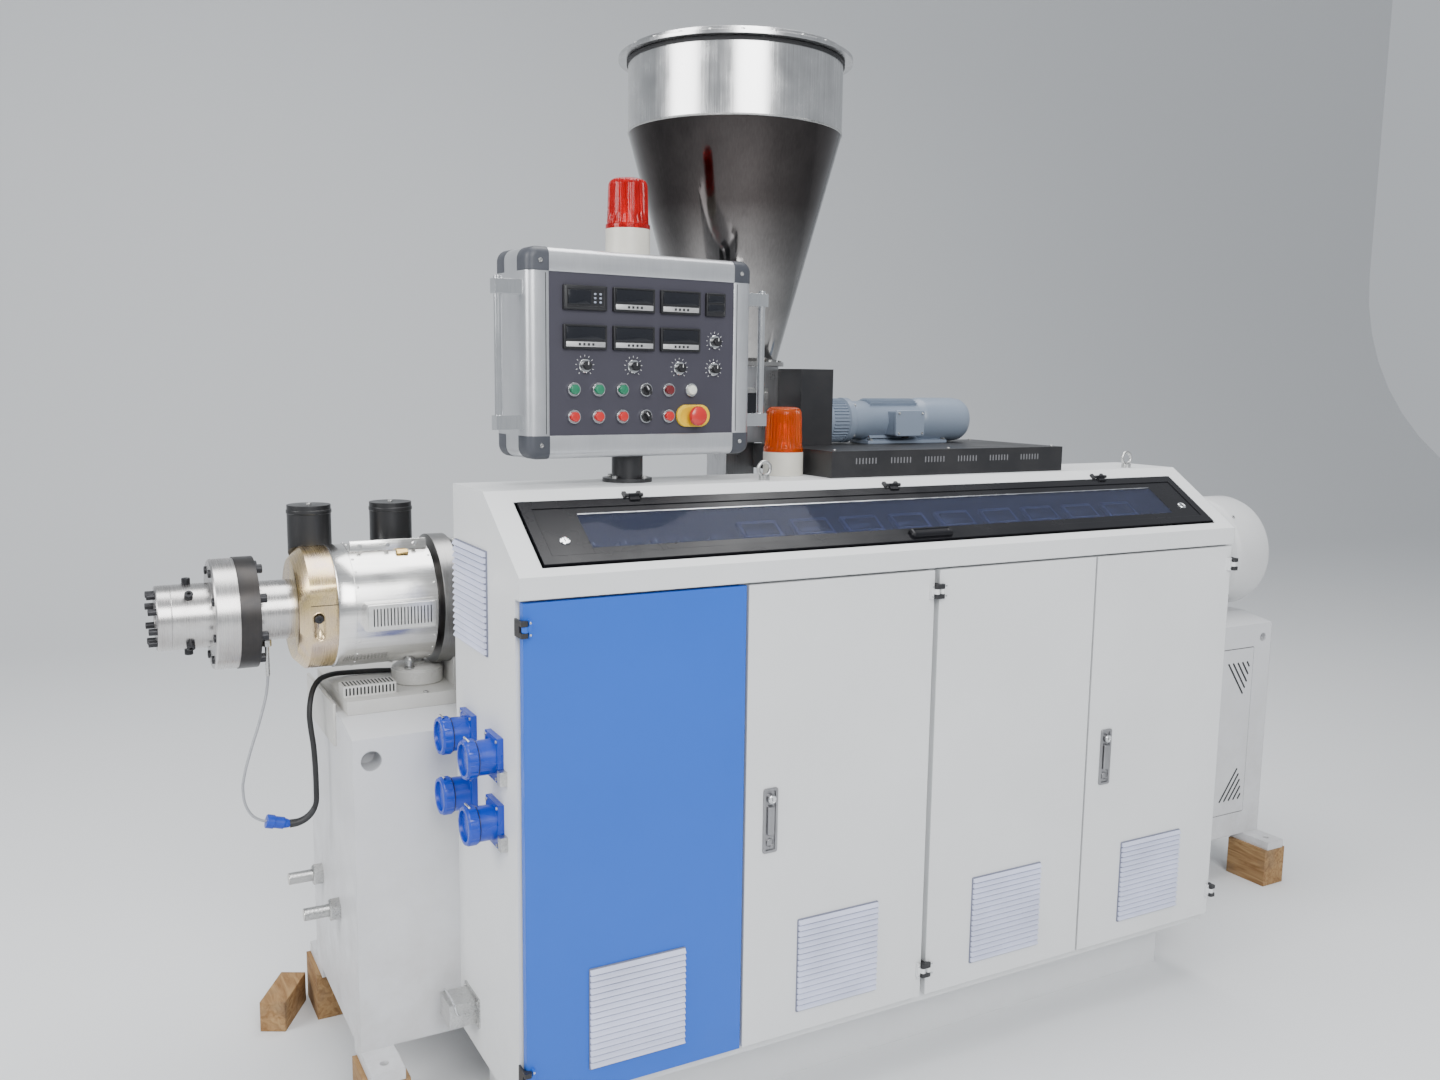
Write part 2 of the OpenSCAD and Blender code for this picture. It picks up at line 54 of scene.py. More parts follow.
yaw, pitch, roll = map(math.radians, (28.735, 7.725, 0.746))
forward = Vector((math.sin(yaw) * math.cos(pitch), math.cos(yaw) * math.cos(pitch), -math.sin(pitch)))
level = Vector((math.cos(yaw), -math.sin(yaw), 0.0))
upward = level.cross(forward)
right = level * math.cos(roll) + upward * math.sin(roll)
upward = right.cross(forward)
camera_data = bpy.data.cameras.new("camera")
camera_data.sensor_width = SENSOR
camera_data.lens = FOCAL_PIXELS / PHOTO_PIXELS * SENSOR
camera_data.clip_end = 60.0
camera = bpy.data.objects.new("camera", camera_data)
turn = Matrix((right, upward, -forward)).transposed()
camera.matrix_world = Matrix.Translation(at(EYE)) @ turn.to_4x4()
bpy.context.scene.collection.objects.link(camera)
bpy.context.scene.camera = camera

# Cords: the black rubber heater cable runs from its gland on the barrel's pedestal over the end of the deck
# down to a blue connector, and the grey probe lead runs on from there up to the neck behind the die.


def wire(tree, kind, settings=None, **inputs):
    """Adds one node: settings are its properties, inputs its sockets, by name or as _0, _1 by number."""
    made = tree.nodes.new("ShaderNode" + kind)
    for name, value in (settings or {}).items():
        setattr(made, name, value)
    for name, value in inputs.items():
        socket = made.inputs[int(name[1:])] if name[1:].isdigit() else made.inputs[name.replace("_", " ")]
        if isinstance(value, bpy.types.NodeSocket):
            tree.links.new(value, socket)
        else:
            socket.default_value = value
    return made


def noise(tree, places, scale, detail, **more):
    """Noise from 0 to 1 at the places given."""
    return wire(tree, "TexNoise", Vector=places, Scale=scale, Detail=detail, **more).outputs["Fac"]


def span(tree, value, low=0.0, high=1.0, start=0.0, end=1.0):
    """The value's way from low to high, as a way from start to end."""
    return wire(tree, "MapRange", Value=value, _1=low, _2=high, _3=start, _4=end).outputs[0]


def calc(tree, operation, first, second):
    """Two numbers added, subtracted or multiplied."""
    return wire(tree, "Math", {"operation": operation}, _0=first, _1=second).outputs[0]


def scaled(tree, colour, factor):
    """A colour times a number."""
    return wire(tree, "VectorMath", {"operation": "SCALE"}, _0=colour, Scale=factor).outputs[0]


def blend(tree, factor, first, second, mode="MIX"):
    """The colour first mixed with second by factor."""
    return wire(tree, "Mix", {"data_type": "RGBA", "blend_type": mode}, _0=factor, _6=first, _7=second).outputs[2]


def group(name, **more):
    """A node group with colour, roughness and the sockets named going in; also gives the point on the object."""
    tree = bpy.data.node_groups.new(name, "ShaderNodeTree")
    kinds = {1: "NodeSocketFloat", 3: "NodeSocketVector", 4: "NodeSocketColor"}
    for socket, value in {"Colour": (0.5, 0.5, 0.5, 1), "Roughness": 0.4, **more}.items():
        made = tree.interface.new_socket(socket.replace("_", " "), in_out="INPUT",
                                         socket_type=kinds[np.size(value)])
        made.default_value = value
    for socket, size in (("Colour", 4), ("Roughness", 1), ("Height", 1)):
        tree.interface.new_socket(socket, in_out="OUTPUT", socket_type=kinds[size])
    return tree, tree.nodes.new("NodeGroupInput").outputs, wire(tree, "TexCoord").outputs["Object"]


def result(tree, **sockets):
    """Ends a node group: each output by name gets its socket."""
    out = tree.nodes.new("NodeGroupOutput")
    for name, socket in sockets.items():
        tree.links.new(socket, out.inputs[name])


# moulded skin: the fine even grain of a mould, a slow change of tone, and rubbed places that shine a little
skin, given, where = group("moulded_skin", Grain=1.0)
slow = noise(skin, where, 9.0, 3.0)
result(skin, Colour=scaled(skin, given[0], span(skin, slow, 0.3, 0.7, 0.90, 1.06)),
       Roughness=calc(skin, "ADD", given[1], span(skin, slow, 0.35, 0.65, -0.05, 0.07)),
       Height=calc(skin, "MULTIPLY", noise(skin, where, 900.0, 2.0), given[2]))


def finish_of(name, effect, colour, roughness, metallic=0.0, edge=0.0012, relief=0.0001, **values):
    """A material: the shader with one effect group feeding its colour, roughness and bump, edges softly broken."""
    made = bpy.data.materials.new(name)
    made.use_nodes = True
    tree = made.node_tree
    shader = tree.nodes["Principled BSDF"]
    shader.inputs["Metallic"].default_value = metallic
    use = tree.nodes.new("ShaderNodeGroup")
    use.node_tree = effect
    use.inputs["Colour"].default_value = (*colour, 1)
    use.inputs["Roughness"].default_value = roughness
    for socket, value in values.items():
        use.inputs[socket.replace("_", " ")].default_value = value
    tree.links.new(use.outputs["Colour"], shader.inputs["Base Color"])
    tree.links.new(use.outputs["Roughness"], shader.inputs["Roughness"])
    bump = wire(tree, "Bump", Height=use.outputs["Height"], Distance=relief, Strength=0.6)
    if edge:
        soft = wire(tree, "Bevel", {"samples": 4}, Radius=edge)
        tree.links.new(soft.outputs[0], bump.inputs["Normal"])
    tree.links.new(bump.outputs[0], shader.inputs["Normal"])
    return made


def set_shader(material, **values):
    """Sets numbers on the shader's own sockets."""
    for socket, value in values.items():
        material.node_tree.nodes["Principled BSDF"].inputs[socket.replace("_", " ")].default_value = value
    return material


def dress(material, *names):
    """Gives the CAD nodes their finish, in all of their material slots."""
    for name in names:
        for material_slot in node[name].material_slots:
            material_slot.material = material
        if not node[name].material_slots:
            node[name].data.materials.append(material)


def add_mesh(name, points, faces, smooth=False, sharp=35.0):
    """A mesh object from arrays of points and faces; edges turned by more than sharp degrees stay crisp."""
    mesh = bpy.data.meshes.new(name)
    mesh.from_pydata(np.asarray(points, float).tolist(), [], [list(f) for f in faces])
    if smooth:
        mesh.polygons.foreach_set("use_smooth", np.ones(len(mesh.polygons), bool))
        mesh.set_sharp_from_angle(angle=math.radians(sharp))
    mesh.update()
    thing = bpy.data.objects.new(name, mesh)
    bpy.context.scene.collection.objects.link(thing)
    return thing


def own(thing, material, body="machine"):
    """Gives a new piece its material and the body that it rides on."""
    thing.data.materials.append(material)
    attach(thing, body)
    return thing


def smooth_route(route, step=8):
    """Points along a curve through the route: each is the Catmull-Rom blend of its four nearest route points."""
    p = np.asarray(route, float)
    p = np.concatenate([[2 * p[0] - p[1]], p, [2 * p[-1] - p[-2]]])
    t = (np.arange(step) / step)[:, None]
    parts = [0.5 * (2 * p[i] + (p[i + 1] - p[i - 1]) * t
                    + (2 * p[i - 1] - 5 * p[i] + 4 * p[i + 1] - p[i + 2]) * t**2
                    + (3 * p[i] - p[i - 1] - 3 * p[i + 1] + p[i + 2]) * t**3) for i in range(1, len(p) - 2)]
    return np.concatenate([*parts, p[-2:-1]])


def tube(name, route, radius, material, sides=12, aside=(0.0, 1.0, 0.0)):
    """A round tube: circle points u cos t + v sin t round each route point, u and v square to the route."""
    p = np.asarray(route, float)
    along = np.gradient(p, axis=0)
    along /= np.linalg.norm(along, axis=1)[:, None]
    u = np.cross(along, aside)
    u /= np.linalg.norm(u, axis=1)[:, None]
    v = np.cross(along, u)
    t = np.arange(sides) * 2 * math.pi / sides
    r = np.broadcast_to(np.asarray(radius, float), (len(p),))[:, None, None]
    rings = p[:, None] + r * (u[:, None] * np.cos(t)[:, None] + v[:, None] * np.sin(t)[:, None])
    i, j = np.meshgrid(np.arange(len(p) - 1), np.arange(sides), indexing="ij")
    a, b = i * sides + j, i * sides + (j + 1) % sides
    walls = np.stack([a, b, b + sides, a + sides], -1).reshape(-1, 4)
    faces = [*walls.tolist(), list(range(sides))[::-1], list(range((len(p) - 1) * sides, len(p) * sides))]
    return own(add_mesh(name, rings.reshape(-1, 3), faces, True), material)


cable_places = smooth_route(at([
    (40, 705, 880), (25, 705, 880), (10, 705, 879), (-10, 708, 877), (-35, 716, 873), (-62, 727, 871),
    (-90, 737, 871), (-120, 743, 871), (-150, 742, 872), (-178, 731, 875), (-203, 711, 877), (-225, 687, 875),
    (-242, 663, 862), (-252, 645, 840), (-256, 637, 812), (-254, 636, 780), (-250, 636, 745), (-248, 636, 710),
    (-247, 636, 675), (-247, 636, 645), (-248, 636, 615), (-256, 636, 596), (-269, 636, 583), (-286, 636, 576),
    (-305, 636, 575)]))
lead_places = smooth_route(at([(x, 636, z) for x, z in (
    (-353, 589), (-362, 592), (-372, 598), (-381, 607), (-388, 618), (-393, 631), (-396, 645), (-397, 660),
    (-397, 675), (-394, 692), (-390, 710), (-385, 728), (-379, 748), (-372, 770), (-364, 793), (-357, 816),
    (-350, 840), (-344, 864), (-340, 888), (-338, 912), (-338, 935), (-338, 950), (-338, 965))]))
rubber = finish_of("cable_rubber", skin, (0.012, 0.012, 0.013), 0.55, edge=0, Grain=1.5)
dark_collar = finish_of("collar_rubber", skin, (0.02, 0.02, 0.022), 0.5, edge=0)
connector_plastic = finish_of("connector_plastic", skin, (0.004, 0.045, 0.42), 0.32, edge=0.0006)
heater_cable = tube("heater_cable_sheath", cable_places, 0.006, rubber)
collar = tube("cable_collar", cable_places[-28:], np.linspace(0.0064, 0.0092, 28), dark_collar,
              16)
gland_nut = tube("cable_gland", cable_places[:12], np.where(np.arange(12) < 9, 0.0105, 0.0075), dark_collar,
                 6)
plug_share = np.array([0, 0.12, 0.24, 0.26, 0.66, 0.68, 0.98, 1.0])[:, None]
connector = tube("cable_connector", cable_places[-1] + (lead_places[0] - cable_places[-1]) * plug_share,
                 np.array([8, 10, 11, 13, 13, 15, 15, 14]) / 1000, connector_plastic, 24)

# braid: the lead's fine wires cross at a slant, seen as fine slanting waves
braid, given, where = group("braided_wire", Pitch=1.0)
strands = wire(braid, "TexWave", {"bands_direction": "DIAGONAL"}, Vector=where, Scale=260.0, Distortion=2.0,
               Detail=2.0).outputs["Fac"]
result(braid, Colour=blend(braid, span(braid, strands, start=0.35, end=0.0), given[0], (0.10, 0.10, 0.11, 1)),
       Roughness=span(braid, strands, start=0.5, end=0.3), Height=calc(braid, "MULTIPLY", strands, given[2]))
lead_braid = finish_of("lead_braid", braid, (0.46, 0.47, 0.49), 0.4, 0.6, edge=0, relief=0.0003)
probe_lead = tube("probe_lead_braid", lead_places, 0.003, lead_braid, 10)

# Studio: a pale floor that curves up behind the machine, and three large soft lamps.
# The lamps stand high in front, at the left and above, as a hall's roof lights do.
sweep = np.linspace(0.0, math.pi / 2, 13)
profile = np.concatenate([[[-12.0, 0.0]], np.stack([5.0 + 3.0 * np.sin(sweep), 3.0 - 3.0 * np.cos(sweep)], 1),
                          [[8.0, 9.0]]])
n = len(profile)
points = np.concatenate([np.column_stack([np.full(n, x), profile]) for x in (-14.0, 14.0)])
floor = add_mesh("studio_floor", points, [(i, n + i, n + i + 1, i + 1) for i in range(n - 1)], True, 80)
floor_paint = bpy.data.materials.new("studio_floor")
floor_paint.use_nodes = True
floor.data.materials.append(set_shader(floor_paint, Base_Color=(0.70, 0.71, 0.72, 1), Roughness=0.75))
world = bpy.data.worlds.new("studio")
world.use_nodes = True
world.node_tree.nodes["Background"].inputs["Color"].default_value = (0.83, 0.87, 0.92, 1)
world.node_tree.nodes["Background"].inputs["Strength"].default_value = 0.6
bpy.context.scene.world = world
for name, place, aim, size, power in (
        ("lamp_front", (-1.5, -5.5, 4.2), (0.0, 0.0, 1.0), 3.5, 380.0),
        ("lamp_left", (-5.5, -0.5, 3.6), (0.0, 0.0, 1.0), 3.0, 240.0),
        ("lamp_top", (0.5, 0.5, 6.0), (0.0, 0.2, 1.0), 4.0, 300.0)):
    lamp_data = bpy.data.lights.new(name, "AREA")
    lamp_data.size = size
    lamp_data.energy = power
    lamp = bpy.data.objects.new(name, lamp_data)
    lamp.matrix_world = (Matrix.Translation(place)
                         @ (Vector(aim) - Vector(place)).to_track_quat("-Z", "Y").to_matrix().to_4x4())
    bpy.context.scene.collection.objects.link(lamp)

# Packing timbers: raw sawn softwood under the feet, laid loose on the floor, one end grain towards the room.
# The grain runs along each timber in drawn-out bands, and the sawn faces are rough.
sawn, given, where = group("sawn_timber", Dark=(0.3, 0.15, 0.05, 1))
drawn = wire(sawn, "Mapping", Vector=where, Scale=(9.0, 1.2, 9.0)).outputs[0]
bands = span(sawn, noise(sawn, drawn, 6.0, 6.0, Distortion=1.5), 0.35, 0.68)
fibres = noise(sawn, drawn, 60.0, 2.0)
dirt = span(sawn, noise(sawn, where, 14.0, 4.0), 0.5, 0.75, 0.0, 0.55)
worn = blend(sawn, bands, given[0], given[2])
result(sawn, Colour=blend(sawn, dirt, worn, (0.13, 0.10, 0.07, 1)),
       Roughness=span(sawn, fibres, start=0.7, end=0.95), Height=fibres)
raw_timber = finish_of("raw_timber", sawn, (0.36, 0.22, 0.095), 0.85, edge=0.003, relief=0.0012,
                       Dark=(0.20, 0.10, 0.035, 1))
dress(raw_timber, "packing_timbers")

# Machine base: a welded box of painted sheet on four foot plates, with slanted air slits in its end panels.
# The white enamel is even and gathers a little dust towards the floor.
film, given, where = group("paint_film", Grain=0.3, Dust=0.15, Dust_Top=0.5)
toned = scaled(film, given["Colour"],
               span(film, noise(film, where, 2.6, 4.0, Roughness=0.6), 0.25, 0.75, 0.955, 1.03))
low = span(film, wire(film, "SeparateXYZ", Vector=where).outputs[2], given["Dust Top"], 0.0)
cloud = noise(film, where, 11.0, 7.0, Roughness=0.65)
settled = calc(film, "MULTIPLY", low, span(film, cloud, 0.38, 0.72))
dusty = calc(film, "MULTIPLY", settled, given["Dust"])
matt = calc(film, "ADD", span(film, cloud, 0.3, 0.7, -0.04, 0.07), given["Roughness"])
height = calc(film, "ADD", noise(film, where, 420.0, 2.0), noise(film, where, 95.0, 1.0))
result(film, Colour=blend(film, dusty, toned, (0.34, 0.31, 0.28, 1)), Roughness=calc(film, "ADD", matt, dusty),
       Height=calc(film, "MULTIPLY", height, given["Grain"]))
# directions: along the machine, to its left end, out through the doors and up
ALONG, LEFT, FRONT, UP = (1.0, 0, 0), (-1.0, 0, 0), (0, -1.0, 0), (0, 0, 1.0)


def turned(profile, sides=24):
    """Loops of a turned piece: point j of loop i is at radius r_i, angle 2 pi j / sides and height h_i."""
    r, h = np.array(profile, float).T
    t = np.arange(sides) * 2 * math.pi / sides
    return np.stack([np.outer(r, np.cos(t)), np.outer(r, np.sin(t)), np.outer(h, np.ones(sides))], 2)


def plate(w, d, corner, layers, steps=4):
    """Loops of a round-cornered plate: layers (inset, height) of its outline, or one number for a plain slab."""
    if np.ndim(layers) == 0:
        layers = [(0, 0), (0, layers)]
    count = np.arange(4 * (steps + 1))
    t = (count // (steps + 1) + (count % (steps + 1)) / steps) * math.pi / 2
    sx = np.repeat([1, -1, -1, 1], steps + 1)
    sy = np.repeat([1, 1, -1, -1], steps + 1)
    rows = []
    for inset, height in layers:
        r, beyond = max(corner - inset, 0.01), max(inset - corner, 0)
        rows.append(np.stack([sx * (w / 2 - corner - beyond) + r * np.cos(t),
                              sy * (d / 2 - corner - beyond) + r * np.sin(t), np.full(len(t), float(height))], 1))
    return np.stack(rows)


def put(name, loops, places, material, slot, z_axis=UP, body="machine", x_axis=ALONG, sharp=35.0):
    """One piece made of like shapes: place + x a + y b + z c for every loop point, a flat cap at each end."""
    places = np.atleast_2d(np.asarray(places, float))
    m = len(places)
    a = np.broadcast_to(np.asarray(x_axis, float), (m, 3))
    c = np.broadcast_to(np.asarray(z_axis, float), (m, 3))
    c = c / np.linalg.norm(c, axis=1)[:, None]
    a = np.where(np.abs((a * c).sum(1))[:, None] > 0.99, UP, a)
    a = a - (a * c).sum(1)[:, None] * c
    a = a / np.linalg.norm(a, axis=1)[:, None]
    axes = np.stack([a, np.cross(c, a), c], 1)
    k, n, _ = loops.shape
    points = places[:, None] + loops.reshape(-1, 3) @ axes
    i, j = np.meshgrid(np.arange(k - 1), np.arange(n), indexing="ij")
    p, q = i * n + j, i * n + (j + 1) % n
    quads = np.stack([p, q, q + n, p + n], -1).reshape(-1, 4)
    faces = []
    for first in range(0, m * k * n, k * n):
        faces += (quads + first).tolist()
        faces += [list(range(first + n - 1, first - 1, -1)), list(range(first + (k - 1) * n, first + k * n))]
    return own(add_mesh(name, at(points.reshape(-1, 3)), faces, True, sharp), material, body)


def put_rows(slot, z_axis, rows, spot=np.asarray, **shared):
    """Pieces with one direction, and a slot that is not used: each row is a name, loops, places in spot's frame and a
    material.
    """
    for name, loops, places, material in rows:
        put(name, loops, spot(places), material, slot, z_axis, **shared)


put("loose_timber", plate(60, 150, 2, 72), (-295, 895, 0), raw_timber, "packing_timbers",
    x_axis=(0.883, -0.469, 0))
enamel = finish_of("base_enamel", film, (0.60, 0.605, 0.62), 0.34, edge=0.004, relief=0.00012, Grain=0.35,
                   Dust=0.45, Dust_Top=0.75)
dress(enamel, "base_frame")
# black plates for the air slits, the gap round each end panel and the motor's fan: painted shade in openings and gaps
slit_shade = finish_of("slit_shade", skin, (0.02, 0.02, 0.022), 0.6, edge=0)
PANEL_X, PANEL_HEIGHT, PANEL_PROUD = 2315, 479, 1.8
# slits start side by side at the panel's upper and lower edge and slant by 54 degrees, each shorter than the last
SLIT_RUN, SLIT_RISE, SLIT_X, SLIT_PITCH = 0.588, 0.809, 2402, 21
slit_lengths = (126, 104, 80, 52, 22)
for side, y, outward in (("front", 400, -1.0), ("back", 874, 1.0)):
    middle = (PANEL_X, y, PANEL_HEIGHT)
    put_rows("base_frame", (0, outward, 0), (
        ("base_%s_gap" % side, plate(404, 530, 5, 0.4), middle, slit_shade),
        ("base_%s_panel" % side, plate(400, 526, 4, [(0, 0), (0, 1.4), (0.5, 1.8)]), middle, enamel)))
    # each slit is a black plate of painted shade on the panel
    for i, run in enumerate(slit_lengths):
        for rise, start, end in ((-1, 700, "high"), (1, 258, "low")):
            place = (SLIT_X + SLIT_PITCH * i + run * 0.294, y + outward * PANEL_PROUD, start + rise * run * 0.404)
            put("base_%s_slit_%d_%s" % (side, i, end), plate(run, 6.5, 3.1, 0.3, 2), place, slit_shade,
                "base_frame", (0, outward, 0), x_axis=(SLIT_RUN, 0, SLIT_RISE * rise))

# Deck on the base: a raised cream plate with its slotted strip, the barrel's foot and the cranked end cover.
# It is held down by button-head screws along its two long edges.
dress(finish_of("deck_enamel", film, (0.56, 0.555, 0.53), 0.4, edge=0.003, relief=0.00015, Grain=0.5, Dust=0.3,
                Dust_Top=1.6), "base_top")
metal, given, where = group("metal_grain", Stretch=(30.0, 30.0, 30.0), Streak=0.25)
drawn = wire(metal, "VectorMath", {"operation": "MULTIPLY"}, _0=where, _1=given["Stretch"]).outputs[0]
lines = noise(metal, drawn, 8.0, 5.0, Roughness=0.6)
both = calc(metal, "ADD", lines, noise(metal, where, 16.0, 3.0))
spread = calc(metal, "MULTIPLY", span(metal, both, 0.7, 1.3, -1.0, 1.0), given["Streak"])
result(metal, Colour=scaled(metal, given["Colour"], calc(metal, "ADD", spread, 1.0)),
       Roughness=calc(metal, "ADD", calc(metal, "MULTIPLY", spread, 0.35), given["Roughness"]), Height=lines)
zinc = finish_of("zinc_plate", metal, (0.52, 0.52, 0.51), 0.32, 1.0, edge=0.0006, relief=0.00006)
black_screw = finish_of("blackened_screw", metal, (0.035, 0.035, 0.038), 0.38, 0.7, edge=0.0005, relief=0.00005)
# black for slots and keyways, as painted shade in their hollows, and for seams, which are dark joints
slot_shade_and_seam = finish_of("slot_shade_and_seam_black", skin, (0.008, 0.008, 0.008), 0.6, edge=0)


def hexagon(across, sides):
    """A hexagon's outline: at each angle, half of its width over the cosine of the angle from its nearest flat."""
    t = np.arange(sides) * 2 * math.pi / sides
    r = across / 2 / np.cos((t % (math.pi / 3)) - math.pi / 6)
    return np.stack([r * np.cos(t), r * np.sin(t)], 1)


def cap_screw(r, h, key, deep=3.0, sides=24):
    """Loops of a socket screw's head: a round cap with a broken edge, sunk in the middle by its hexagon key."""
    loops = turned([(r, 0), (r, h - r * 0.12), (r * 0.88, h), (r, h), (r, h - deep)], sides)
    loops[3:, :, :2] = hexagon(key, sides)
    return loops


def hex_head(across, h, sides=12):
    """Loops of a hexagon head: two hexagons up the flats and a smaller circle where its top is turned off."""
    loops = turned([(1, 0), (1, h - across * 0.07), (across * 0.45, h)], sides)
    loops[:2, :, :2] = hexagon(across, sides)
    return loops


put("deck_screws", cap_screw(5.5, 3.2, 4.2, 1.8), [(x, y, 864) for x in np.linspace(-31, 585, 5)
                                                   for y in (524, 836)], zinc, "base_top")
# the strip's slots are black plates of painted shade
for name, length, y, z, outward in (("strip_slots", 38, 575, 888, UP), ("strip_side_slots", 17, 550, 876, FRONT)):
    put(name, plate(3.4, length, 1.6, 0.4, 2), [(-194 + 7.7 * i, y, z) for i in range(14)], slot_shade_and_seam, "base_top",
        outward)

# Drain pot: a white enamelled lid and pot under the vent, clamped by a knurled screw, with a bent pipe to the
# flange. The enamel is thick and glossy, and greyed in patches by dust.
pot_enamel = finish_of("pot_enamel", film, (0.50, 0.495, 0.47), 0.22, edge=0.0015, relief=0.0001, Grain=0.2,
                       Dust=0.35, Dust_Top=1.6)
pot = turned([(54, 0), (57, 3), (57, 30), (55, 32), (55, 35), (50, 39), (47, 41), (20, 43), (18, 46), (0.5, 47)], 64)
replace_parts(put("drain_pot_body", pot, (-20, 637, 864), pot_enamel, "drain_pot"), "drain_pot")
put("drain_pot_knob", turned([(12, 0), (12, 3), (8, 5), (8, 12), (12, 13), (12.6, 20), (11, 23), (0.5, 23)], 32),
    (-46, 600, 903), zinc, "drain_pot")
tube("drain_pot_pipe", smooth_route(at([(-14, 637, 905), (-14, 634, 925), (-9, 622, 946), (0, 603, 962),
                                        (10, 582, 974), (18, 566, 980)]), 5), 0.009, zinc, 16)

# Water nipples: turned steel tails with a hexagon, screwed into the base's end, each with a cut thread.
# The thread is a close row of rings round the tail.
steps_up = np.arange(22, 74, 1.4)
thread = np.stack([np.where(np.arange(len(steps_up)) % 2 == 0, 13.2, 14.0), steps_up], 1)
dress(finish_of("nipple_steel", metal, (0.58, 0.57, 0.54), 0.28, 1.0, edge=0.0008, relief=0.00008,
                Stretch=(8.0, 60.0, 60.0)), "water_nipples")
nipples_at = [(-216, 775, 392), (-216, 584, 384)]
put("nipple_threads", turned(thread, 20), nipples_at, zinc, "water_nipples", LEFT, sharp=20)
put("nipple_hexagons", hex_head(44, 22.4), nipples_at, zinc, "water_nipples", LEFT)

# Gearbox and main motor: iron castings in the same white enamel, joined by a lantern piece on the base.
# Rows of hexagon bolts hold the gearbox's two halves and its feet, and four small screws the motor's fan cowl.
casting = finish_of("casting_enamel", film, (0.60, 0.605, 0.61), 0.36, edge=0.004, relief=0.0005, Grain=0.8,
                    Dust=0.3, Dust_Top=1.2)
case_outline = np.array([(447, 834), (827, 834), (827, 1266), (803, 1290), (471, 1290), (447, 1266)], float)
case_middle = [637, 1062]
girth = (case_outline - case_middle) * [1.05, 1.03] + case_middle


def carried(outline, start, end):
    """Loops of a bar: its outline at both of its ends."""
    return np.stack([np.column_stack([outline, np.full(len(outline), float(x))]) for x in (start, end)])


def ring(along, radius, angles):
    """Places on a circle about the X direction, at angles from the Y direction."""
    return np.stack([np.full(len(angles), float(along)), radius * np.cos(angles), radius * np.sin(angles)], 1)


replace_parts(put("gear_case", carried(case_outline, 1000, 1700), (0, 0, 0), casting, "gearbox", ALONG,
                x_axis=(0, 1.0, 0)), "gearbox")
put("gear_case_girth", carried(girth, 1436, 1472), (0, 0, -8), casting, "gearbox", ALONG, x_axis=(0, 1.0, 0))
put_rows("gearbox", UP, (
    ("gear_case_flange", plate(690, 410, 12, 18), (1349, 637, 1041), casting),
    ("gear_case_foot", plate(690, 430, 10, [(0, 0), (0, 20), (2, 22)]), (1350, 637, 834), casting),
    ("gear_case_cover", plate(320, 220, 14, [(0, 0), (0, 8), (2, 10)]), (1220, 637, 1289), casting),
    ("gear_cover_bolts", hex_head(12, 6), [(x, y, 1299) for x in (1080, 1220, 1360) for y in (541, 733)], zinc),
    ("gearbox_bolts", hex_head(15, 7), [(x, y, 1059) for x in np.linspace(1020, 1680, 10) for y in (437, 837)],
     casting),
    ("gearbox_foot_bolts", hex_head(22, 12), [(x, y, 856) for x in (1020, 1230, 1470, 1680) for y in (434, 840)],
     zinc)))
frame_turn = [(0.5, 0), (163, 0), (164, 2), (164, 18), (150, 24), (150, 776), (164, 782), (164, 800), (172, 806),
              (176, 814), (176, 926), (170, 944), (160, 950), (150, 950), (148, 936), (0.5, 936)]
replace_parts(put("motor_frame", turned(frame_turn, 96), (1700, 637, 1010), casting, "main_motor", ALONG),
            "main_motor")
shaft = np.array([0, 637.0, 1010.0])
rib_turns = np.radians(np.arange(0, 360, 7.5))
rib_out = ring(0, 1, rib_turns)
put("motor_ribs", plate(752, 3.4, 1, [(0, 0), (0.4, 13), (1, 14.5)], 1), shaft + ring(2100, 148, rib_turns), casting,
    "main_motor", rib_out)
# a black disc behind the fan guard: painted shade inside the cowl
put("motor_fan_shade", turned([(147, 0), (147, 1)], 64), (2636, 637, 1010), slit_shade, "main_motor", ALONG)
for r in range(24, 145, 20):
    tube("motor_guard_ring_%d" % r, at(shaft + ring(2643, r, np.linspace(0, 2 * math.pi, 49))), 0.0026, casting,
         6, ALONG)
put("motor_guard_spokes", plate(128, 5, 1, 4, 1), shaft + ring(2639, 84, rib_turns[::6]), casting, "main_motor",
    ALONG, x_axis=rib_out[::6])
put_rows("main_motor", UP, (
    ("motor_feet", plate(550, 300, 8, [(0, 0), (0, 20), (40, 34), (70, 76)]), (2125, 637, 834), casting),
    ("motor_terminal_box", plate(190, 150, 10, [(0, 0), (0, 46), (-3, 46), (-3, 56), (0, 60)]),
     (1895, 637, 1150), casting)))
quarters = np.radians([45, 135, 225, 315])
put("cowl_screws", cap_screw(5, 3.4, 3.6, 1.6), shaft + ring(2520, 176, quarters), zinc, "main_motor",
    ring(0, 1, quarters))

# Cabinet: folded white sheet with a fine textured powder coat, standing on a set-back plinth.
# The coat scatters the light evenly; the plinth below it takes the dust of the floor.
dress(finish_of("powder_coat", film, (0.70, 0.71, 0.715), 0.42, edge=0.003, relief=0.00022, Grain=1.0, Dust=0.18,
                Dust_Top=0.55), "cabinet_shell")
dress(finish_of("plinth_coat", film, (0.68, 0.69, 0.70), 0.48, edge=0.002, relief=0.00022, Grain=1.0, Dust=0.08,
                Dust_Top=0.22), "cabinet_plinth")
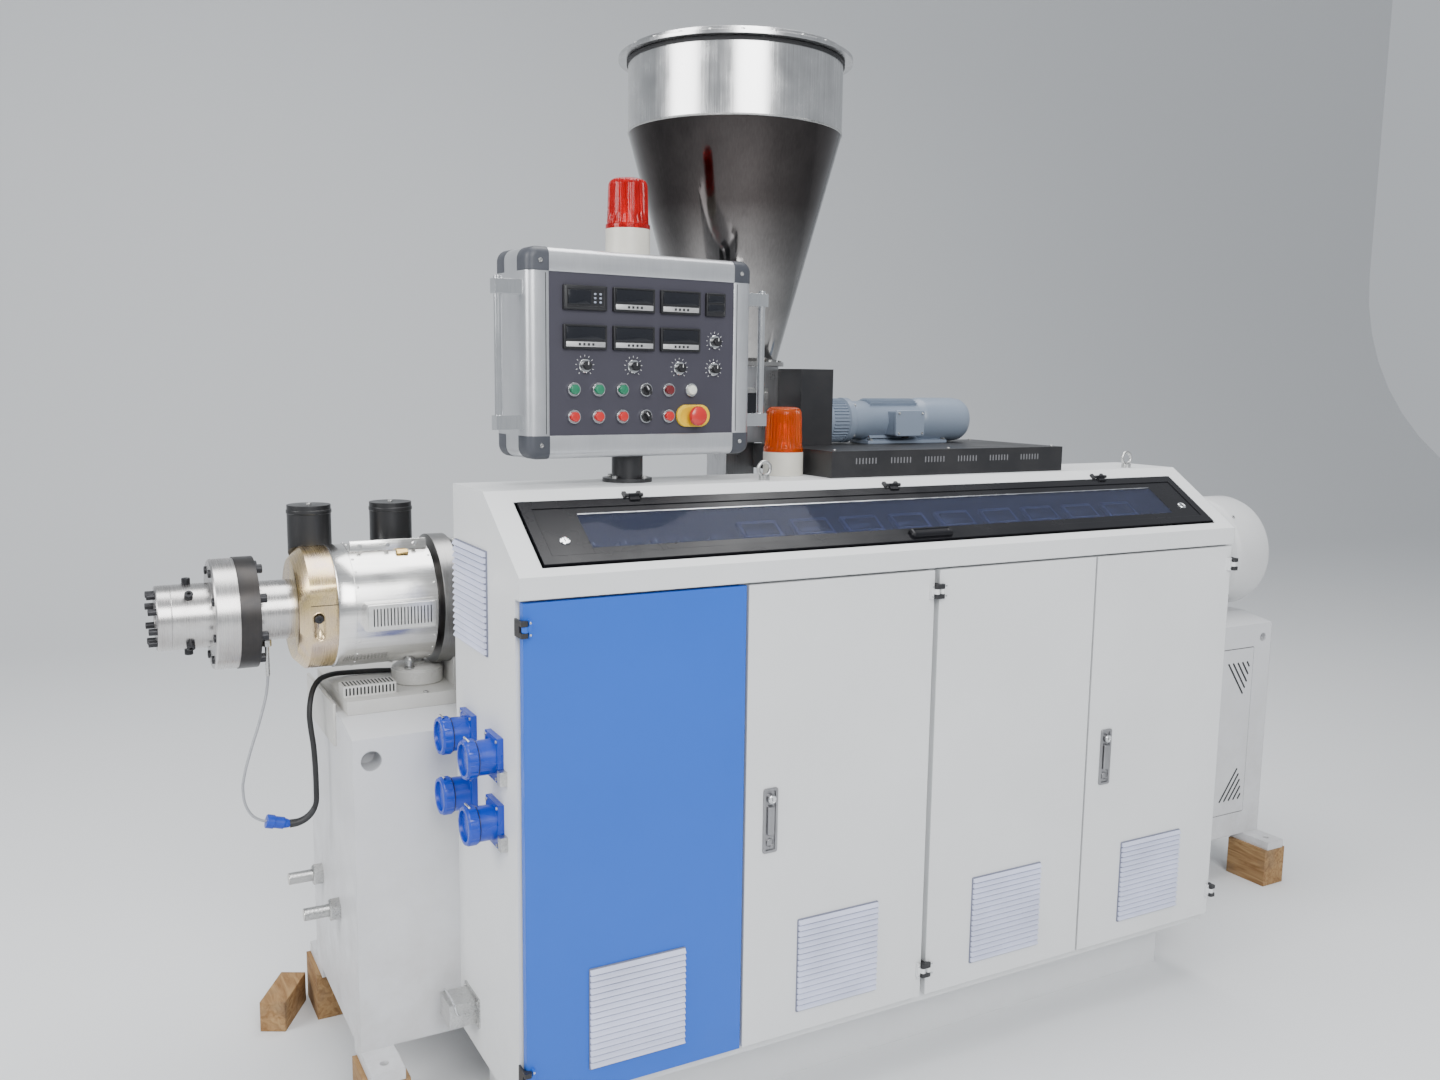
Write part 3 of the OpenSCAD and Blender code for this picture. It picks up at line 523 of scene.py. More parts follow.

# Doors: folded pans in the same powder coat, the first in strong blue; louvred vents of lavender-white plastic
# are clipped into their lower halves, with a dark plate of painted shade showing in the gaps between their slats.
DOOR_PITCH, SLATS = 470, 16
louvre = finish_of("louvre_plastic", skin, (0.62, 0.65, 0.82), 0.38, edge=0.0008, relief=0.00006, Grain=0.7)
# a dark lavender plate behind the slats: painted shade in the gaps between them
painted_gap_shade = finish_of("louvre_painted_gap_shade", skin, (0.17, 0.18, 0.25), 0.5, edge=0)
dress(louvre, "vent_1", "left_vent")
slat = 203 / SLATS
teeth = [(d, 1 + slat * i + u) for i in range(SLATS - 1, -1, -1)
         for d, u in ((-3.0, slat - 0.8), (-4.6, slat - 1.2), (-9.0, 4.4), (-9.0, 3.0), (-3.0, 3.0))]
slats = carried(np.array([(-2.4, 1.0), (-2.4, 204.0)] + teeth), 1, 204)
# the plate behind each vent's slats, in the painted shade material
vent_shade_plate = plate(206, 206, 2, 3.2, 2)
for n in range(4):
    door = "door_%d" % (n + 1)
    slot = door if n else "vent_1"
    finned = put(door + "_slats", slats, (n * DOOR_PITCH + 132.5, 0, 222), louvre, slot, ALONG, door,
                 x_axis=(0, 1.0, 0), sharp=20)
    put(door + "_vent_shade_plate", vent_shade_plate, (n * DOOR_PITCH + 235, 0, 324.5), painted_gap_shade, slot, FRONT, door)
    if n == 0:
        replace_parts(finned, "vent_1")
        dress(finish_of("blue_coat", film, (0.008, 0.105, 0.55), 0.38, edge=0.002, relief=0.0002, Grain=0.8,
                        Dust=0.05, Dust_Top=0.4), door)
    else:
        dress(finish_of(door + "_coat", film, (0.70, 0.71, 0.715), 0.42, edge=0.002, relief=0.0002, Grain=1.0,
                        Dust=0.12, Dust_Top=0.4), door)
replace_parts(put("left_vent_slats", slats, (0, 385, 1012), louvre, "left_vent", FRONT, sharp=20), "left_vent")
put("left_vent_shade_plate", vent_shade_plate, (0, 282.5, 1114.5), painted_gap_shade, "left_vent", LEFT, x_axis=(0, 1.0, 0))

# Door furniture: black die-cast hinges, and two let-in lever handles of satin nickel with a bright lock
# cylinder. Each cylinder has a keyway; the hinges are held by countersunk screws.
LOCK_HEIGHT = 702.5
dress(finish_of("hinge_casting", skin, (0.018, 0.018, 0.020), 0.42, edge=0.0008, relief=0.0001), "door_hinges",
      "lid_hinges")
nickel = finish_of("satin_nickel", metal, (0.30, 0.30, 0.31), 0.34, 0.85, edge=0.0012, relief=0.00005,
                   Stretch=(60.0, 60.0, 6.0), Streak=0.15)
chrome = finish_of("bright_chrome", metal, (0.70, 0.71, 0.72), 0.10, 1.0, edge=0.0006, relief=0.00002,
                   Streak=0.05)
for name, x in (("door_2", 530), ("door_4", 1470)):
    put_rows(name, FRONT, (
        (name + "_handle_plate", plate(34, 137, 5, [(0, 0), (0, 3.4), (0.6, 4), (5.5, 4), (6, 3.4), (6, 0.6)]),
         (x, 0, 656), nickel),
        (name + "_handle_lever", plate(16, 62, 4, [(0, 0.6), (0, 6), (1.5, 8)]), (x, 0, 656), nickel),
        (name + "_lock_barrel", turned([(10, 0), (10, 8.4), (9.4, 9)], 32), (x, 0, LOCK_HEIGHT), nickel),
        (name + "_finger_ring", turned([(9, 0.6), (9, 3.6), (8.4, 4.2), (7.4, 4.2), (7, 1.4)], 32),
         (x, 0, 608.5), nickel),
        (name + "_lock", turned([(8.8, 0), (8.8, 1.0), (8.0, 1.6), (6.8, 1.6), (6.6, 1.0), (0.4, 1.0)]),
         (x, -9, LOCK_HEIGHT), chrome),
        # the keyway is a black plate of painted shade
        (name + "_keyway", plate(1.6, 7, 0.7, 0.5, 2), (x, -9.8, LOCK_HEIGHT), slot_shade_and_seam)), body=name)
for body, x in (("door_1", 18), ("door_2", 922), ("door_3", 958), ("door_4", 1862)):
    put(body + "_hinge_screws", cap_screw(2.2, 0.7, 1.8, 0.5, 12),
        [(x, -9, z + dz) for z in (240, 1101) for dz in (-11, 11)], chrome, "door_hinges", FRONT, body)

# Side fittings: four blue moulded sockets with sprung lids, a die-cast connector housing with its locking bow,
# and two latch plates, all screwed to the left side sheet.
socket_blue = finish_of("socket_plastic", skin, (0.005, 0.040, 0.40), 0.28, edge=0.0012, relief=0.00006, Grain=0.7)
seal = finish_of("seal_rubber", skin, (0.02, 0.02, 0.022), 0.6, edge=0)
dress(socket_blue, "sockets")
dress(zinc, "cabinet_fittings", "lifting_eyes")
sockets_at = ((134, 830), (298, 832), (134, 700), (298, 707))
knurl = turned([(37, 0), (38.4, 1.5), (38.4, 17), (37, 18.5), (36, 21.4), (30, 21.4), (29, 15), (0.5, 15)], 96)
knurl[1:3, :, :2] *= np.where(np.arange(96) % 8 < 2, 0.972, 1.0)[None, :, None]
put_rows("sockets", LEFT, (
    ("socket_screws", cap_screw(3.6, 2.2, 3.0, 1.2, 12),
     [(-12, y + dy, z + dz) for y, z in sockets_at for dy in (-31, 31) for dz in (-36, 36)], zinc),
    ("socket_seals", turned([(34.8, 0), (36.2, 0.6), (36.2, 1.8), (34.8, 2.4)], 40),
     [(-43.6, y, z) for y, z in sockets_at], seal)))
put("socket_grips", knurl, [(-46.2, y, z) for y, z in sockets_at], socket_blue, "sockets", LEFT, sharp=25)
put("socket_hinge_pins", turned([(2.2, 0), (2.2, 26)], 12), [(-60, y - 13, z + 39.5) for y, z in sockets_at],
    chrome, "sockets", (0, 1.0, 0))
put("connector_flange", plate(100, 64, 4, [(0, 0), (0, 2.4), (0.6, 3)]), (0, 315, 237), zinc, "cabinet_fittings",
    LEFT, x_axis=(0, 1.0, 0))
put("connector_screws", cap_screw(3.4, 3, 2.8, 1.4, 12), [(-3, y, z) for y in (272, 358) for z in (214, 260)],
    zinc, "cabinet_fittings", LEFT)
tube("connector_bow", smooth_route(at([
    (-40, 279, 238), (-46, 276, 245), (-50, 276, 262), (-52, 290, 270), (-52, 315, 271), (-52, 340, 270),
    (-50, 354, 262), (-46, 354, 245), (-40, 351, 238)]), 4), 0.0022, chrome, 8, ALONG)

# Window lid: a black framed flap of tinted glass over the temperature controllers, hinged along its upper edge.
# Two chrome cam locks hold it down at the ends, and a black pull stands at the middle of its lower edge.
SLOPE = math.atan(137 / 204)
DESK_EDGE = np.array([0.0, 204.0, 1329.0])
desk_axes = np.array([(1.0, 0, 0), (0, math.cos(SLOPE), math.sin(SLOPE)), (0, -math.sin(SLOPE), math.cos(SLOPE))])
off_slope = desk_axes[2]


def on_slope(places):
    """Millimetres in the machine's frame: x along the desk, up its slope and off its face from its top edge."""
    return DESK_EDGE + np.atleast_2d(np.asarray(places, float)) @ desk_axes


gloss_black = set_shader(finish_of("lid_black", skin, (0.010, 0.010, 0.012), 0.22, edge=0.0015, relief=0.00004,
                                   Grain=0.4), Specular_IOR_Level=0.2)
dress(gloss_black, "lid_frame")
glass = bpy.data.materials.new("tinted_glass")
glass.use_nodes = True
set_shader(glass, Transmission_Weight=0.92, IOR=1.10)
tree = glass.node_tree
shader = tree.nodes["Principled BSDF"]
smear = noise(tree, wire(tree, "TexCoord").outputs["Object"], 14.0, 5.0)
tree.links.new(span(tree, smear, 0.4, 0.75, 0.02, 0.10), shader.inputs["Roughness"])
tree.links.new(blend(tree, smear, (0.24, 0.27, 0.42, 1), (0.30, 0.33, 0.48, 1)), shader.inputs["Base Color"])
dress(glass, "lid_glass")
trim = finish_of("silver_trim", metal, (0.60, 0.61, 0.63), 0.25, 1.0, edge=0, Stretch=(3.0, 60.0, 60.0))
lock_xs = (116, 1769)
put_rows("lid_frame", off_slope, (
    ("lid_cam_locks", turned([(11, 0), (11, 1.6), (9.6, 3), (7.2, 3.4), (6.8, 2.2), (0.5, 2.2)], 28),
     [(x, -155, 2.2) for x in lock_xs], chrome),
    # the cam slots are black plates of painted shade
    ("lid_cam_slots", plate(1.6, 8, 0.7, 0.5, 2), [(x, -155, 4.4) for x in lock_xs], slot_shade_and_seam),
    ("lid_print_ends", plate(86, 134, 1, 0.25, 1), [(121, -129, 2), (1759, -129, 2)], gloss_black),
    ("lid_print_edges", plate(1552, 18, 1, 0.25, 1), [(940, -187, 2), (940, -71, 2)], gloss_black),
    ("lid_pull", plate(112, 26, 8, [(0, 0), (0, 5), (3, 9), (7, 10), (9, 8), (12, 7.6)]), (946, -199, 4),
     gloss_black),
    ("window_trim", plate(1550, 2.6, 1.2, 1.0, 2), (940, -81.5, 2.2), trim)), spot=on_slope, body="lid")

# Instrument tray: a satin black tray under the lid with nine temperature controllers and five rotary switches.
# Each controller has a grey bezel, a dark display and four small keys; each switch a knob with a white line.
tray_black = finish_of("tray_black", film, (0.022, 0.022, 0.025), 0.4, edge=0.001, relief=0.0001, Grain=0.5,
                       Dust=0.0)
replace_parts(put("instrument_tray", plate(1802, 202, 3, [(0, -50), (0, -2), (2, -2), (2, -48)]),
                on_slope((940, -129, 0)), tray_black, "instrument_panel", off_slope), "instrument_panel")
bezel = finish_of("controller_grey", skin, (0.13, 0.16, 0.24), 0.35, edge=0.0008)
display = finish_of("display_window", skin, (0.008, 0.009, 0.013), 0.08, edge=0.0006, relief=0.00001, Grain=0.1)
keys = finish_of("controller_keys", skin, (0.30, 0.33, 0.40), 0.4, edge=0.0005)
white_line = finish_of("printed_white", skin, (0.75, 0.75, 0.75), 0.5, edge=0)
knob_black = finish_of("knob_black", skin, (0.016, 0.016, 0.018), 0.32, edge=0.0008, Grain=0.8)
CONTROLLER_PITCH, DIAL_PITCH = 130, 66
controllers = [576 + i * CONTROLLER_PITCH for i in range(9)]
dials = [190 + i * DIAL_PITCH for i in range(5)]
put_rows("instrument_panel", off_slope, (
    ("controller_bezels", plate(95, 95, 4, [(0, -8), (0, 0.8), (1.2, 2.0), (5, 2.0), (6.5, 0.6)]),
     [(x, -129, -40) for x in controllers], bezel),
    ("controller_displays", plate(79, 37, 3, [(0, -0.5), (0, 1.6), (1, 2.2)]),
     [(x, -110, -39.6) for x in controllers], display),
    ("controller_keys", plate(14, 9, 2, [(0, -0.5), (0, 1.2), (1, 1.8)], 2),
     [(x + dx, -157, -39.6) for x in controllers for dx in (-30, -10, 10, 30)], keys),
    ("controller_frames", plate(82, 1.4, 0.6, [(0, -0.5), (0, 2.2)], 1),
     [(x, y, -39.4) for x in controllers for y in (-130.5, -89.5)], keys),
    ("tray_knobs", turned([(20, 1), (20, 4), (13.4, 6), (13.4, 17), (12, 18.4), (0.5, 18.4)], 28),
     [(x, -139, -49) for x in dials], knob_black),
    ("tray_knob_lines", plate(1.8, 11, 0.8, 0.4, 1), [(x, -133, -30.6) for x in dials], white_line),
    ("tray_knob_rings", turned([(21, 0), (21, 1.6), (19, 2.4), (15, 2.4)], 28),
     [(x, -139, -44.8) for x in dials], chrome)), spot=on_slope)

# Control box: anodised aluminium extrusions joined by dark grey corner castings round a dark face, on a post
# that it turns on. The finish shows the drawn lines of the extrusion; the face is a fine satin sheet.
TURN = math.radians(5.4)
BOX_FOOT = np.array([354.0, 320.0, 1386.0])
box_axes = np.array([(math.cos(TURN), math.sin(TURN), 0), (-math.sin(TURN), math.cos(TURN), 0), UP])
box_x, box_y, up_z = box_axes


def on_box(places):
    """Millimetres in the machine's frame: x across the box, y to its back and z up from its underside."""
    return BOX_FOOT + np.atleast_2d(np.asarray(places, float)) @ box_axes


dress(finish_of("post_black", film, (0.02, 0.02, 0.022), 0.35, edge=0.0015, relief=0.0001, Dust=0.0), "box_post")
flange_turns = np.radians([30, 120, 210, 300])
put("post_flange_bolts", cap_screw(6, 5.5, 5, 3), ring(1337, 44, flange_turns)[:, [1, 2, 0]] + [354, 320, 0], zinc,
    "box_post")
anodised = finish_of("anodised_aluminium", metal, (0.60, 0.61, 0.63), 0.36, 0.85, edge=0.0025, relief=0.00004,
                     Stretch=(40.0, 40.0, 3.0), Streak=0.05)
box_layers = [(12, -76), (3, -73), (0, -66), (0, 62), (3, 70), (10, 75), (16, 76), (43, 76), (46, 74.6), (46, 69.5)]
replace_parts(put("box_frame", plate(527, 410, 23, box_layers, 8), on_box((0, 0, 205)), anodised, "box_shell",
                -box_y, "control_box"), "box_shell")


def corner_layer(inset, height):
    """A corner's outline at one height: square towards the box, a quarter circle of radius 24 less inset outside."""
    r, edge = 24.0 - inset, -22.6
    quarter = [(r * math.cos(t) - 0.5, r * math.sin(t) - 0.5, height) for t in np.linspace(0, math.pi / 2, 9)]
    return np.array([(edge, edge, height), (r - 0.5, edge, height), *quarter, (edge, r - 0.5, height)])


corner = np.stack([corner_layer(*layer) for layer in ((0, 30), (0, 63), (3, 71), (9, 75.6), (14, 76.8))])
casting_grey = finish_of("corner_casting", skin, (0.050, 0.054, 0.066), 0.42, edge=0.003, relief=0.0001, Grain=1.2)
front = [(box_x, 1, 1), (up_z, -1, 1), (-box_x, -1, -1), (-up_z, 1, -1)]
back = [(box_x, 1, -1), (-up_z, -1, -1), (-box_x, -1, 1), (up_z, 1, 1)]
for name, corners_of, out in (("box_front_corners", front, -box_y), ("box_back_corners", back, box_y)):
    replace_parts(put(name, corner, on_box([(sx * 240.5, 0, 205 + sz * 182) for _, sx, sz in corners_of]),
                    casting_grey, "box_corners", out, "control_box", [a for a, _, _ in corners_of]), "box_corners")
dress(finish_of("face_satin", film, (0.040, 0.038, 0.054), 0.5, edge=0, relief=0.00008, Grain=0.6, Dust=0.0),
      "box_face")
dress(finish_of("handle_chrome", metal, (0.74, 0.75, 0.76), 0.16, 1.0, edge=0.0012, relief=0.00002,
                Stretch=(40.0, 40.0, 3.0), Streak=0.06), "box_handles")
put("corner_screws", cap_screw(4.4, 2.2, 3.6, 1.2, 16), on_box([(x, -76.8, z) for x in (-236, 236)
                                                                for z in (27, 383)]), zinc, "box_corners", -box_y,
    "control_box")
put("profile_seams", plate(1.6, 312, 0.6, [(0, -0.2), (0, 0.2)], 1), on_box([(-225, -76, 205), (225, -76, 205)]),
    slot_shade_and_seam, "box_shell", -box_y, "control_box")

# Box instruments: six panel meters and one small controller above rows of buttons, selectors and an emergency
# stop. Meters are black mouldings with a glossy display over a silver key strip; button caps are translucent.
FACE = -73
moulding = finish_of("meter_moulding", skin, (0.014, 0.014, 0.016), 0.34, edge=0.0008, Grain=0.6)
silver = finish_of("key_strip_silver", metal, (0.50, 0.50, 0.50), 0.42, 0.6, edge=0.0004, Streak=0.08)
meters = [(-140 + i * 111, z) for z in (316, 240) for i in range(3)]
meter_rim = [(0, 0), (0, 7), (0.8, 8), (3.2, 8), (4, 6.6)]
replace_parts(put("meter_bodies", plate(96, 48, 2, meter_rim), on_box([(x, FACE, z) for x, z in meters]), moulding,
                "box_instruments", -box_y, "control_box"), "box_instruments")
cap_shape = turned([(9.7, 4), (9.7, 11.4), (8.9, 12.6), (6.5, 13.2), (0.5, 13.4)])
caps = {}
for colour, tint in (("red", (0.52, 0.018, 0.016)), ("green", (0.012, 0.17, 0.085)),
                     ("dark_red", (0.14, 0.012, 0.015)), ("white", (0.72, 0.74, 0.66))):
    caps[colour] = set_shader(finish_of("cap_" + colour, skin, tint, 0.28, edge=0.0008, Grain=0.5), Coat_Weight=0.4)
yellow = finish_of("stop_yellow", skin, (0.78, 0.50, 0.015), 0.35, edge=0.001)
button_xs = (-165, -110, -55, 0, 55, 110)
knobs = [(170, 238), (-139, 184), (-28, 184), (82, 182), (168, 181)]
selectors = [(0, FACE, 137), (0, FACE, 83)]
put_rows("box_instruments", -box_y, (
    ("small_meter_body", plate(48, 48, 2, meter_rim), (169, FACE, 315), moulding),
    ("meter_displays", plate(86, 24.5, 1.5, [(0, 0), (0, 0.9), (0.8, 1.3)]),
     [(x, -79.5, z + 7.2) for x, z in meters], display),
    ("meter_strips", plate(87, 10, 1, [(0, 0), (0, 0.9), (0.4, 1.1)]),
     [(x, -79.6, z - 14.4) for x, z in meters[1:]], silver),
    ("meter_keys", plate(4.6, 5, 0.8, [(0, 0), (0, 0.9), (0.5, 1.2)], 2),
     [(x + dx, -80.7, z - 14.4) for x, z in meters[1:] for dx in (-14, -4, 6, 16)], moulding),
    ("controller_face", plate(92, 44, 2.5, [(0, 0), (0, 1.0), (1.2, 1.8), (5.5, 1.8), (6.3, 0.9)]),
     (-140, -80, 316), moulding),
    ("controller_glass", plate(50, 27, 1.5, [(0, 0), (0, 0.8), (0.6, 1.1)]), (-154, -80.9, 317), display),
    ("controller_buttons", plate(5, 4, 1.2, [(0, 0), (0, 1.2), (0.7, 1.7)], 2),
     [(x, -80.9, z) for x in (-120, -108) for z in (308, 316, 324)], keys),
    ("small_meter_displays", plate(39, 14, 1.2, [(0, 0), (0, 0.8), (0.5, 1.1)]),
     [(169, -79.6, 326), (169, -79.6, 308)], display),
    ("green_caps", cap_shape, [(x, FACE, 137) for x in button_xs[:3]], caps["green"]),
    ("dark_red_cap", cap_shape, (55, FACE, 137), caps["dark_red"]),
    ("white_cap", cap_shape, (110, FACE, 137), caps["white"]),
    ("red_caps", cap_shape, [(x, FACE, 83) for x in (-165, -110, -55, 55)], caps["red"]),
    ("button_rings", turned([(15, 0), (15, 4.4), (13.6, 6.8), (11.6, 6.8), (11.4, 4.4)], 32),
     [(x, FACE, z) for x in button_xs for z in (137, 83)][:-1], chrome),
    ("knob_rings", turned([(14.4, 0), (14.4, 3.2), (13, 4.6), (9.6, 4.6)], 32),
     [(x, FACE, z) for x, z in knobs], chrome),
    ("knob_bodies", turned([(8.9, 4), (8.9, 15), (8, 16.4), (0.5, 16.4)], 24), [(x, FACE, z) for x, z in knobs],
     knob_black),
    ("knob_lines", plate(1.5, 6.5, 0.6, [(0, 16.4), (0, 16.8)], 1), [(x, FACE, z + 4.5) for x, z in knobs],
     white_line),
    ("selector_bases", turned([(11.4, 3), (11.4, 9), (10.4, 10), (0.5, 10)], 28), selectors, knob_black),
    ("stop_shroud", plate(82, 46, 22.9, [(0, 0), (0, 5), (2, 7), (7, 7.6), (10, 6.0)], 10), (116, FACE, 83), yellow),
    ("stop_mushroom", turned([(11.2, 7), (11.2, 16), (18.4, 18), (20.4, 20.5), (20.4, 25), (18.8, 28.5), (14, 31),
                              (7, 32), (0.5, 32.2)], 40), (116, FACE, 83), caps["red"])),
    spot=on_box, body="control_box")
put_rows("box_instruments", -box_y, (
    ("selector_levers", plate(7, 21, 3, [(0, 8), (0, 17), (1, 18)]), selectors, knob_black),
    ("selector_lines", plate(1.6, 9, 0.7, [(0, 18), (0, 18.4)], 1), [(-3.2, FACE, 141.2), (-3.2, FACE, 87.2)],
     white_line)), spot=on_box, body="control_box", x_axis=box_x * 0.8 + up_z * 0.6)
ticks = [(x, z, t) for x, z in knobs for t in np.radians(np.arange(-50, 231, 28))]
put("dial_ticks", plate(3.6, 0.9, 0.4, 0.3, 1),
    on_box([(x + 19.5 * math.cos(t), FACE, z + 19.5 * math.sin(t)) for x, z, t in ticks]), white_line,
    "box_instruments", -box_y, "control_box", [box_x * math.cos(t) + up_z * math.sin(t) for _, _, t in ticks])

# Beacons: an off-white moulded base and a ribbed translucent dome, hollow, with a bright reflector round its
# lamp. The ribs run up the dome; the dome is pressed on to its base.
RIB_POINTS = 120
dress(finish_of("beacon_cream", skin, (0.62, 0.60, 0.53), 0.35, edge=0.0015), "red_beacon_base",
      "orange_beacon_base")
outer = [(46, 0), (46, 9), (43, 11), *[(43 - 0.4 * i, 11 + 12.5 * i) for i in range(1, 6)],
         *[(24.6 + 16 * math.cos(t), 86 + 16 * math.sin(t)) for t in np.linspace(0, math.pi / 2, 7)],
         (12, 102), (0.4, 102)]
inner = [(0.4, 98.5), (22, 98), (33, 92), (36.5, 82), (39, 12), (41.5, 8), (41.5, 0)]
dome = turned(outer + inner, RIB_POINTS)
dome[3:14, :, :2] *= np.where((np.arange(RIB_POINTS) % 4) < 2, 1.0, 0.945)[None, :, None]


def hollow(name, loops, place, material, body="machine"):
    """The loops as a closed wall: the last is joined back to the first, with no caps."""
    k, n, _ = loops.shape
    i, j = np.meshgrid(np.arange(k), np.arange(n), indexing="ij")
    a, b = i * n + j, i * n + (j + 1) % n
    c, d = ((i + 1) % k) * n + (j + 1) % n, ((i + 1) % k) * n + j
    walls = np.stack([a, b, c, d], -1).reshape(-1, 4).tolist()
    points = at(loops.reshape(-1, 3) + np.asarray(place, float))
    return own(add_mesh(name, points, walls, True, 30), material, body)


reflector = finish_of("beacon_reflector", metal, (0.62, 0.60, 0.58), 0.2, 0.9, edge=0)
for colour, tint, foot, body in (("red", (0.80, 0.012, 0.014), (354, 320, 1850), "control_box"),
                                 ("orange", (0.90, 0.16, 0.006), (757, 345, 1383), "machine")):
    lens = colour + "_beacon_lens"
    clear = set_shader(finish_of(colour + "_lens", skin, tint, 0.12, edge=0, relief=0.00008, Grain=0.5),
                       Transmission_Weight=0.8, IOR=1.35)
    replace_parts(hollow(colour + "_dome", dome, foot, clear, body), lens)
    put(colour + "_reflector", turned([(34, 0), (30, 6), (15, 24), (15, 60), (13, 66), (0.5, 66)], 32), foot,
        reflector, lens, body=body)

# Hopper: a cone and cylinder of polished stainless sheet, butt welded, with a rolled rim flange and a black
# band under it. The cylinder is brushed bright; the cone is mirror bright, with the dark lower walls painted in as
# reflection.
hopper_steel = finish_of("hopper_stainless", metal, (0.62, 0.62, 0.62), 0.24, 1.0, edge=0.0015, relief=0.00003,
                         Stretch=(34.0, 34.0, 0.7), Streak=0.16)
# the cone leans out over the machine: a painted reflection of it darkens the cone's colour from its foot up to the
# weld
tree = hopper_steel.node_tree
shader = tree.nodes["Principled BSDF"]
tint, shine = (shader.inputs[socket].links[0].from_socket for socket in ("Base Color", "Roughness"))
rise = wire(tree, "SeparateXYZ", Vector=wire(tree, "TexCoord").outputs["Object"]).outputs[2]
cone = span(tree, rise, 2.129, 2.133, 1.0, 0.0)
painted_reflection = blend(tree, span(tree, rise, 1.62, 1.95), (0.38, 0.37, 0.36, 1), (0.075, 0.066, 0.064, 1))
painted_reflection = blend(tree, 1.0, painted_reflection, scaled(tree, tint, 1.6), "MULTIPLY")
tree.links.new(blend(tree, cone, tint, painted_reflection), shader.inputs["Base Color"])
tree.links.new(calc(tree, "SUBTRACT", shine, span(tree, cone, start=0.0, end=0.13)), shader.inputs["Roughness"])
dress(hopper_steel, "hopper")
hopper_foot = np.array([781.0, 637.0, 0.0])
for name, radius, height, turns, head in (
        ("hopper_rim_bolts", 272.5, 2305, np.radians(np.arange(0, 360, 15) + 4), hex_head(10, 4.0)),
        ("hopper_outlet_bolts", 121, 1588, np.radians(np.arange(0, 360, 45) + 22.5), hex_head(9, 5))):
    put(name, head, hopper_foot + ring(height, radius, turns)[:, [1, 2, 0]], zinc, "hopper")
# a black band under the rim flange
hollow("hopper_rim_black_band", turned([(258, 0), (262.6, 0.6), (262.6, 8), (258, 8.6)], 96),
       hopper_foot + [0, 0, 2288.0], seal)
hollow("hopper_weld", turned([(257.6, 0), (259.8, 1.2), (260.4, 3), (259.8, 4.8), (257.6, 6)], 96),
       hopper_foot + [0, 0, 2128.0], zinc)

# Feeder: a stainless housing with a small sight window, on a black tray with a guard, driven by a grey-blue
# geared motor of enamelled cast aluminium with cooling fins; its terminal box lid is held by four screws.
dress(finish_of("feeder_stainless", metal, (0.50, 0.50, 0.51), 0.3, 1.0, edge=0.002, relief=0.00004,
                Stretch=(30.0, 30.0, 2.0), Streak=0.12), "feeder_housing")
dress(finish_of("satin_black", film, (0.014, 0.014, 0.016), 0.38, edge=0.0015, relief=0.00012, Grain=0.7,
                Dust=0.06, Dust_Top=2.4), "feeder_tray", "feeder_guard")
sight = (777, 547, 1478)
put_rows("feeder_housing", FRONT, (
    ("sight_frame", plate(112, 94, 3, [(0, 0), (0, 4), (1, 5), (12, 5), (13, 1)]), sight, zinc),
    ("sight_glass", plate(88, 70, 1.5, [(0, 0.6), (0, 2.2)]), sight, display),
    ("sight_frame_screws", cap_screw(3, 2.4, 2.5, 1.2, 12),
     [(x, 542, z) for x in (727, 827) for z in (1442, 1514)], zinc)))
put("tray_screws", cap_screw(4.4, 3, 3.4, 1.6, 16), [(x, y, 1389) for x in (830, 1156, 1484) for y in (244, 556)],
    zinc, "feeder_tray")
# grey strokes on the black tray's slots: painted highlight where their edges catch the light
painted_slot_highlight = finish_of("painted_slot_highlights", skin, (0.16, 0.16, 0.17), 0.5, edge=0)
put("tray_front_slots", plate(3.2, 14, 1.5, 0.3, 2), [(878 + 98 * g + 9 * i, 225, 1366) for g in range(6)
                                                      for i in range(7)], painted_slot_highlight, "feeder_tray", FRONT)
grey_blue = finish_of("motor_enamel", film, (0.20, 0.245, 0.315), 0.33, edge=0.0015, relief=0.0003, Grain=0.8,
                      Dust=0.12, Dust_Top=2.2)
drive_axis = np.array([0.0, 505.0, 1447.0])
drive = [(0.5, 954), (57, 954), (57, 968), (51, 972), (51, 1016), (56, 1020), (56, 1036), (48, 1042), (48, 1086),
         (47, 1088), (47, 1236), (50, 1240), (52, 1244), (54, 1250), (56, 1254), (56.6, 1262), (56.6, 1368),
         (54, 1388), (48, 1398), (40, 1400), (0.5, 1400)]
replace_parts(put("drive_motor", turned(drive, 64), drive_axis, grey_blue, "feeder_motor", ALONG), "feeder_motor")
fin_turns = np.radians(np.arange(0, 360, 9.0))
open_turns = fin_turns[np.abs(np.degrees(fin_turns) - 180) > 48]
for name, length, fin, x, radius, turns in (
        ("motor_fins", 146, [(0, 0), (0.2, 8), (0.6, 9)], 1164, 46, open_turns),
        ("gear_fins", 44, [(0, 0), (0.2, 3.4), (0.6, 4.2)], 994, 50.5, fin_turns)):
    put(name, plate(length, 1.8, 0.8, fin, 1), drive_axis + ring(x, radius, turns), grey_blue, "feeder_motor",
        ring(0, 1, turns))
put("bell_screws", hex_head(9, 5), drive_axis + ring(1036, 51.5, quarters), zinc, "feeder_motor", ALONG)
put_rows("feeder_motor", UP, (
    ("drive_foot", plate(250, 84, 4, [(0, 0), (0, 7), (14, 10), (26, 22)]), (1205, 505, 1389), grey_blue),
    ("motor_foot_bolts", hex_head(11, 5.5), [(x, y, 1396) for x in (1090, 1320) for y in (469, 541)], zinc)))
